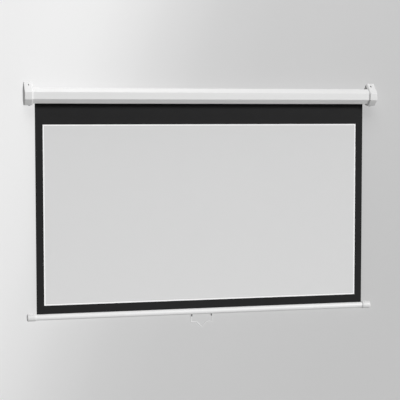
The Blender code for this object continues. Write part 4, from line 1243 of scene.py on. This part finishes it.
def soft_light(name, place, size, power):
    """Square lamp of a size in metres at a place."""
    lamp = bpy.data.lights.new(name, "AREA")
    lamp.size = size
    lamp.energy = power
    return put_light(name, lamp, place)


def far_light(name, azimuth, height, width, power):
    """Even light from far away, by its direction and its width in degrees."""
    lamp = bpy.data.lights.new(name, "SUN")
    lamp.angle = radians(width)
    lamp.energy = power
    aside, above = radians(azimuth), radians(height)
    way = Vector((sin(aside) * cos(above), -cos(aside) * cos(above), sin(above)))
    return put_light(name, lamp, AIM + SUN_DISTANCE * way)


def linked(name, state, *pieces):
    """Group of pieces that a light takes in or leaves out."""
    group = bpy.data.collections.new(name)
    for piece in pieces:
        group.objects.link(piece)
    for member in group.collection_objects:
        member.light_linking.link_state = state
    return group


key = far_light("key_light", KEY_AZIMUTH, KEY_HEIGHT, KEY_WIDTH, KEY_POWER)
over_wall = far_light("wall_light", WALL_LAMP_AZIMUTH, WALL_LAMP_HEIGHT, WALL_LAMP_WIDTH,
                      WALL_LAMP_POWER)
top = soft_light("top_light", TOP_FROM, TOP_SIZE, TOP_POWER)
soft_light("back_light", BACK_FROM, BACK_SIZE, BACK_POWER)
key.light_linking.receiver_collection = linked("lit_by_key", "EXCLUDE", wall)
top.light_linking.receiver_collection = linked("lit_from_top", "EXCLUDE", wall)
over_wall.light_linking.receiver_collection = linked("lit_over_wall", "INCLUDE", wall)
over_wall.light_linking.blocker_collection = linked(
    "shading_the_wall", "INCLUDE", *[bpy.data.objects[name] for name in WALL_SHADERS])
room = bpy.data.worlds.new("room")
room.use_nodes = True
air = room.node_tree
path = air.nodes.new("ShaderNodeLightPath")
air.nodes["Background"].inputs["Color"].default_value = ROOM_COLOUR
feed(spread(air, path.outputs["Is Camera Ray"], ROOM_LIGHT, ROOM_TONE),
     air.nodes["Background"].inputs["Strength"])
bpy.context.scene.world = room
bpy.context.scene.view_settings.view_transform = "Standard"


# Camera
# It stands five metres away, 14 degrees to the left of straight on and level with the
# screen's head. Its long lens keeps the edges of the cloth nearly parallel.

CAMERA_PLACE = (-1.2502, -4.9699, -0.1056)
CAMERA_YAW = -13.99
CAMERA_PITCH = -3.84
CAMERA_ROLL = -0.05
CAMERA_LENS = 110.8
CAMERA_SENSOR = 36.0

lens = bpy.data.cameras.new("camera")
lens.lens = CAMERA_LENS
lens.sensor_width = CAMERA_SENSOR
camera = add_object("camera", lens)
turn = (Matrix.Rotation(radians(CAMERA_YAW), 3, "Z")
        @ Matrix.Rotation(radians(90 + CAMERA_PITCH), 3, "X")
        @ Matrix.Rotation(radians(CAMERA_ROLL), 3, "Z"))
camera.matrix_world = Matrix.Translation(CAMERA_PLACE) @ turn.to_4x4()
bpy.context.scene.camera = camera
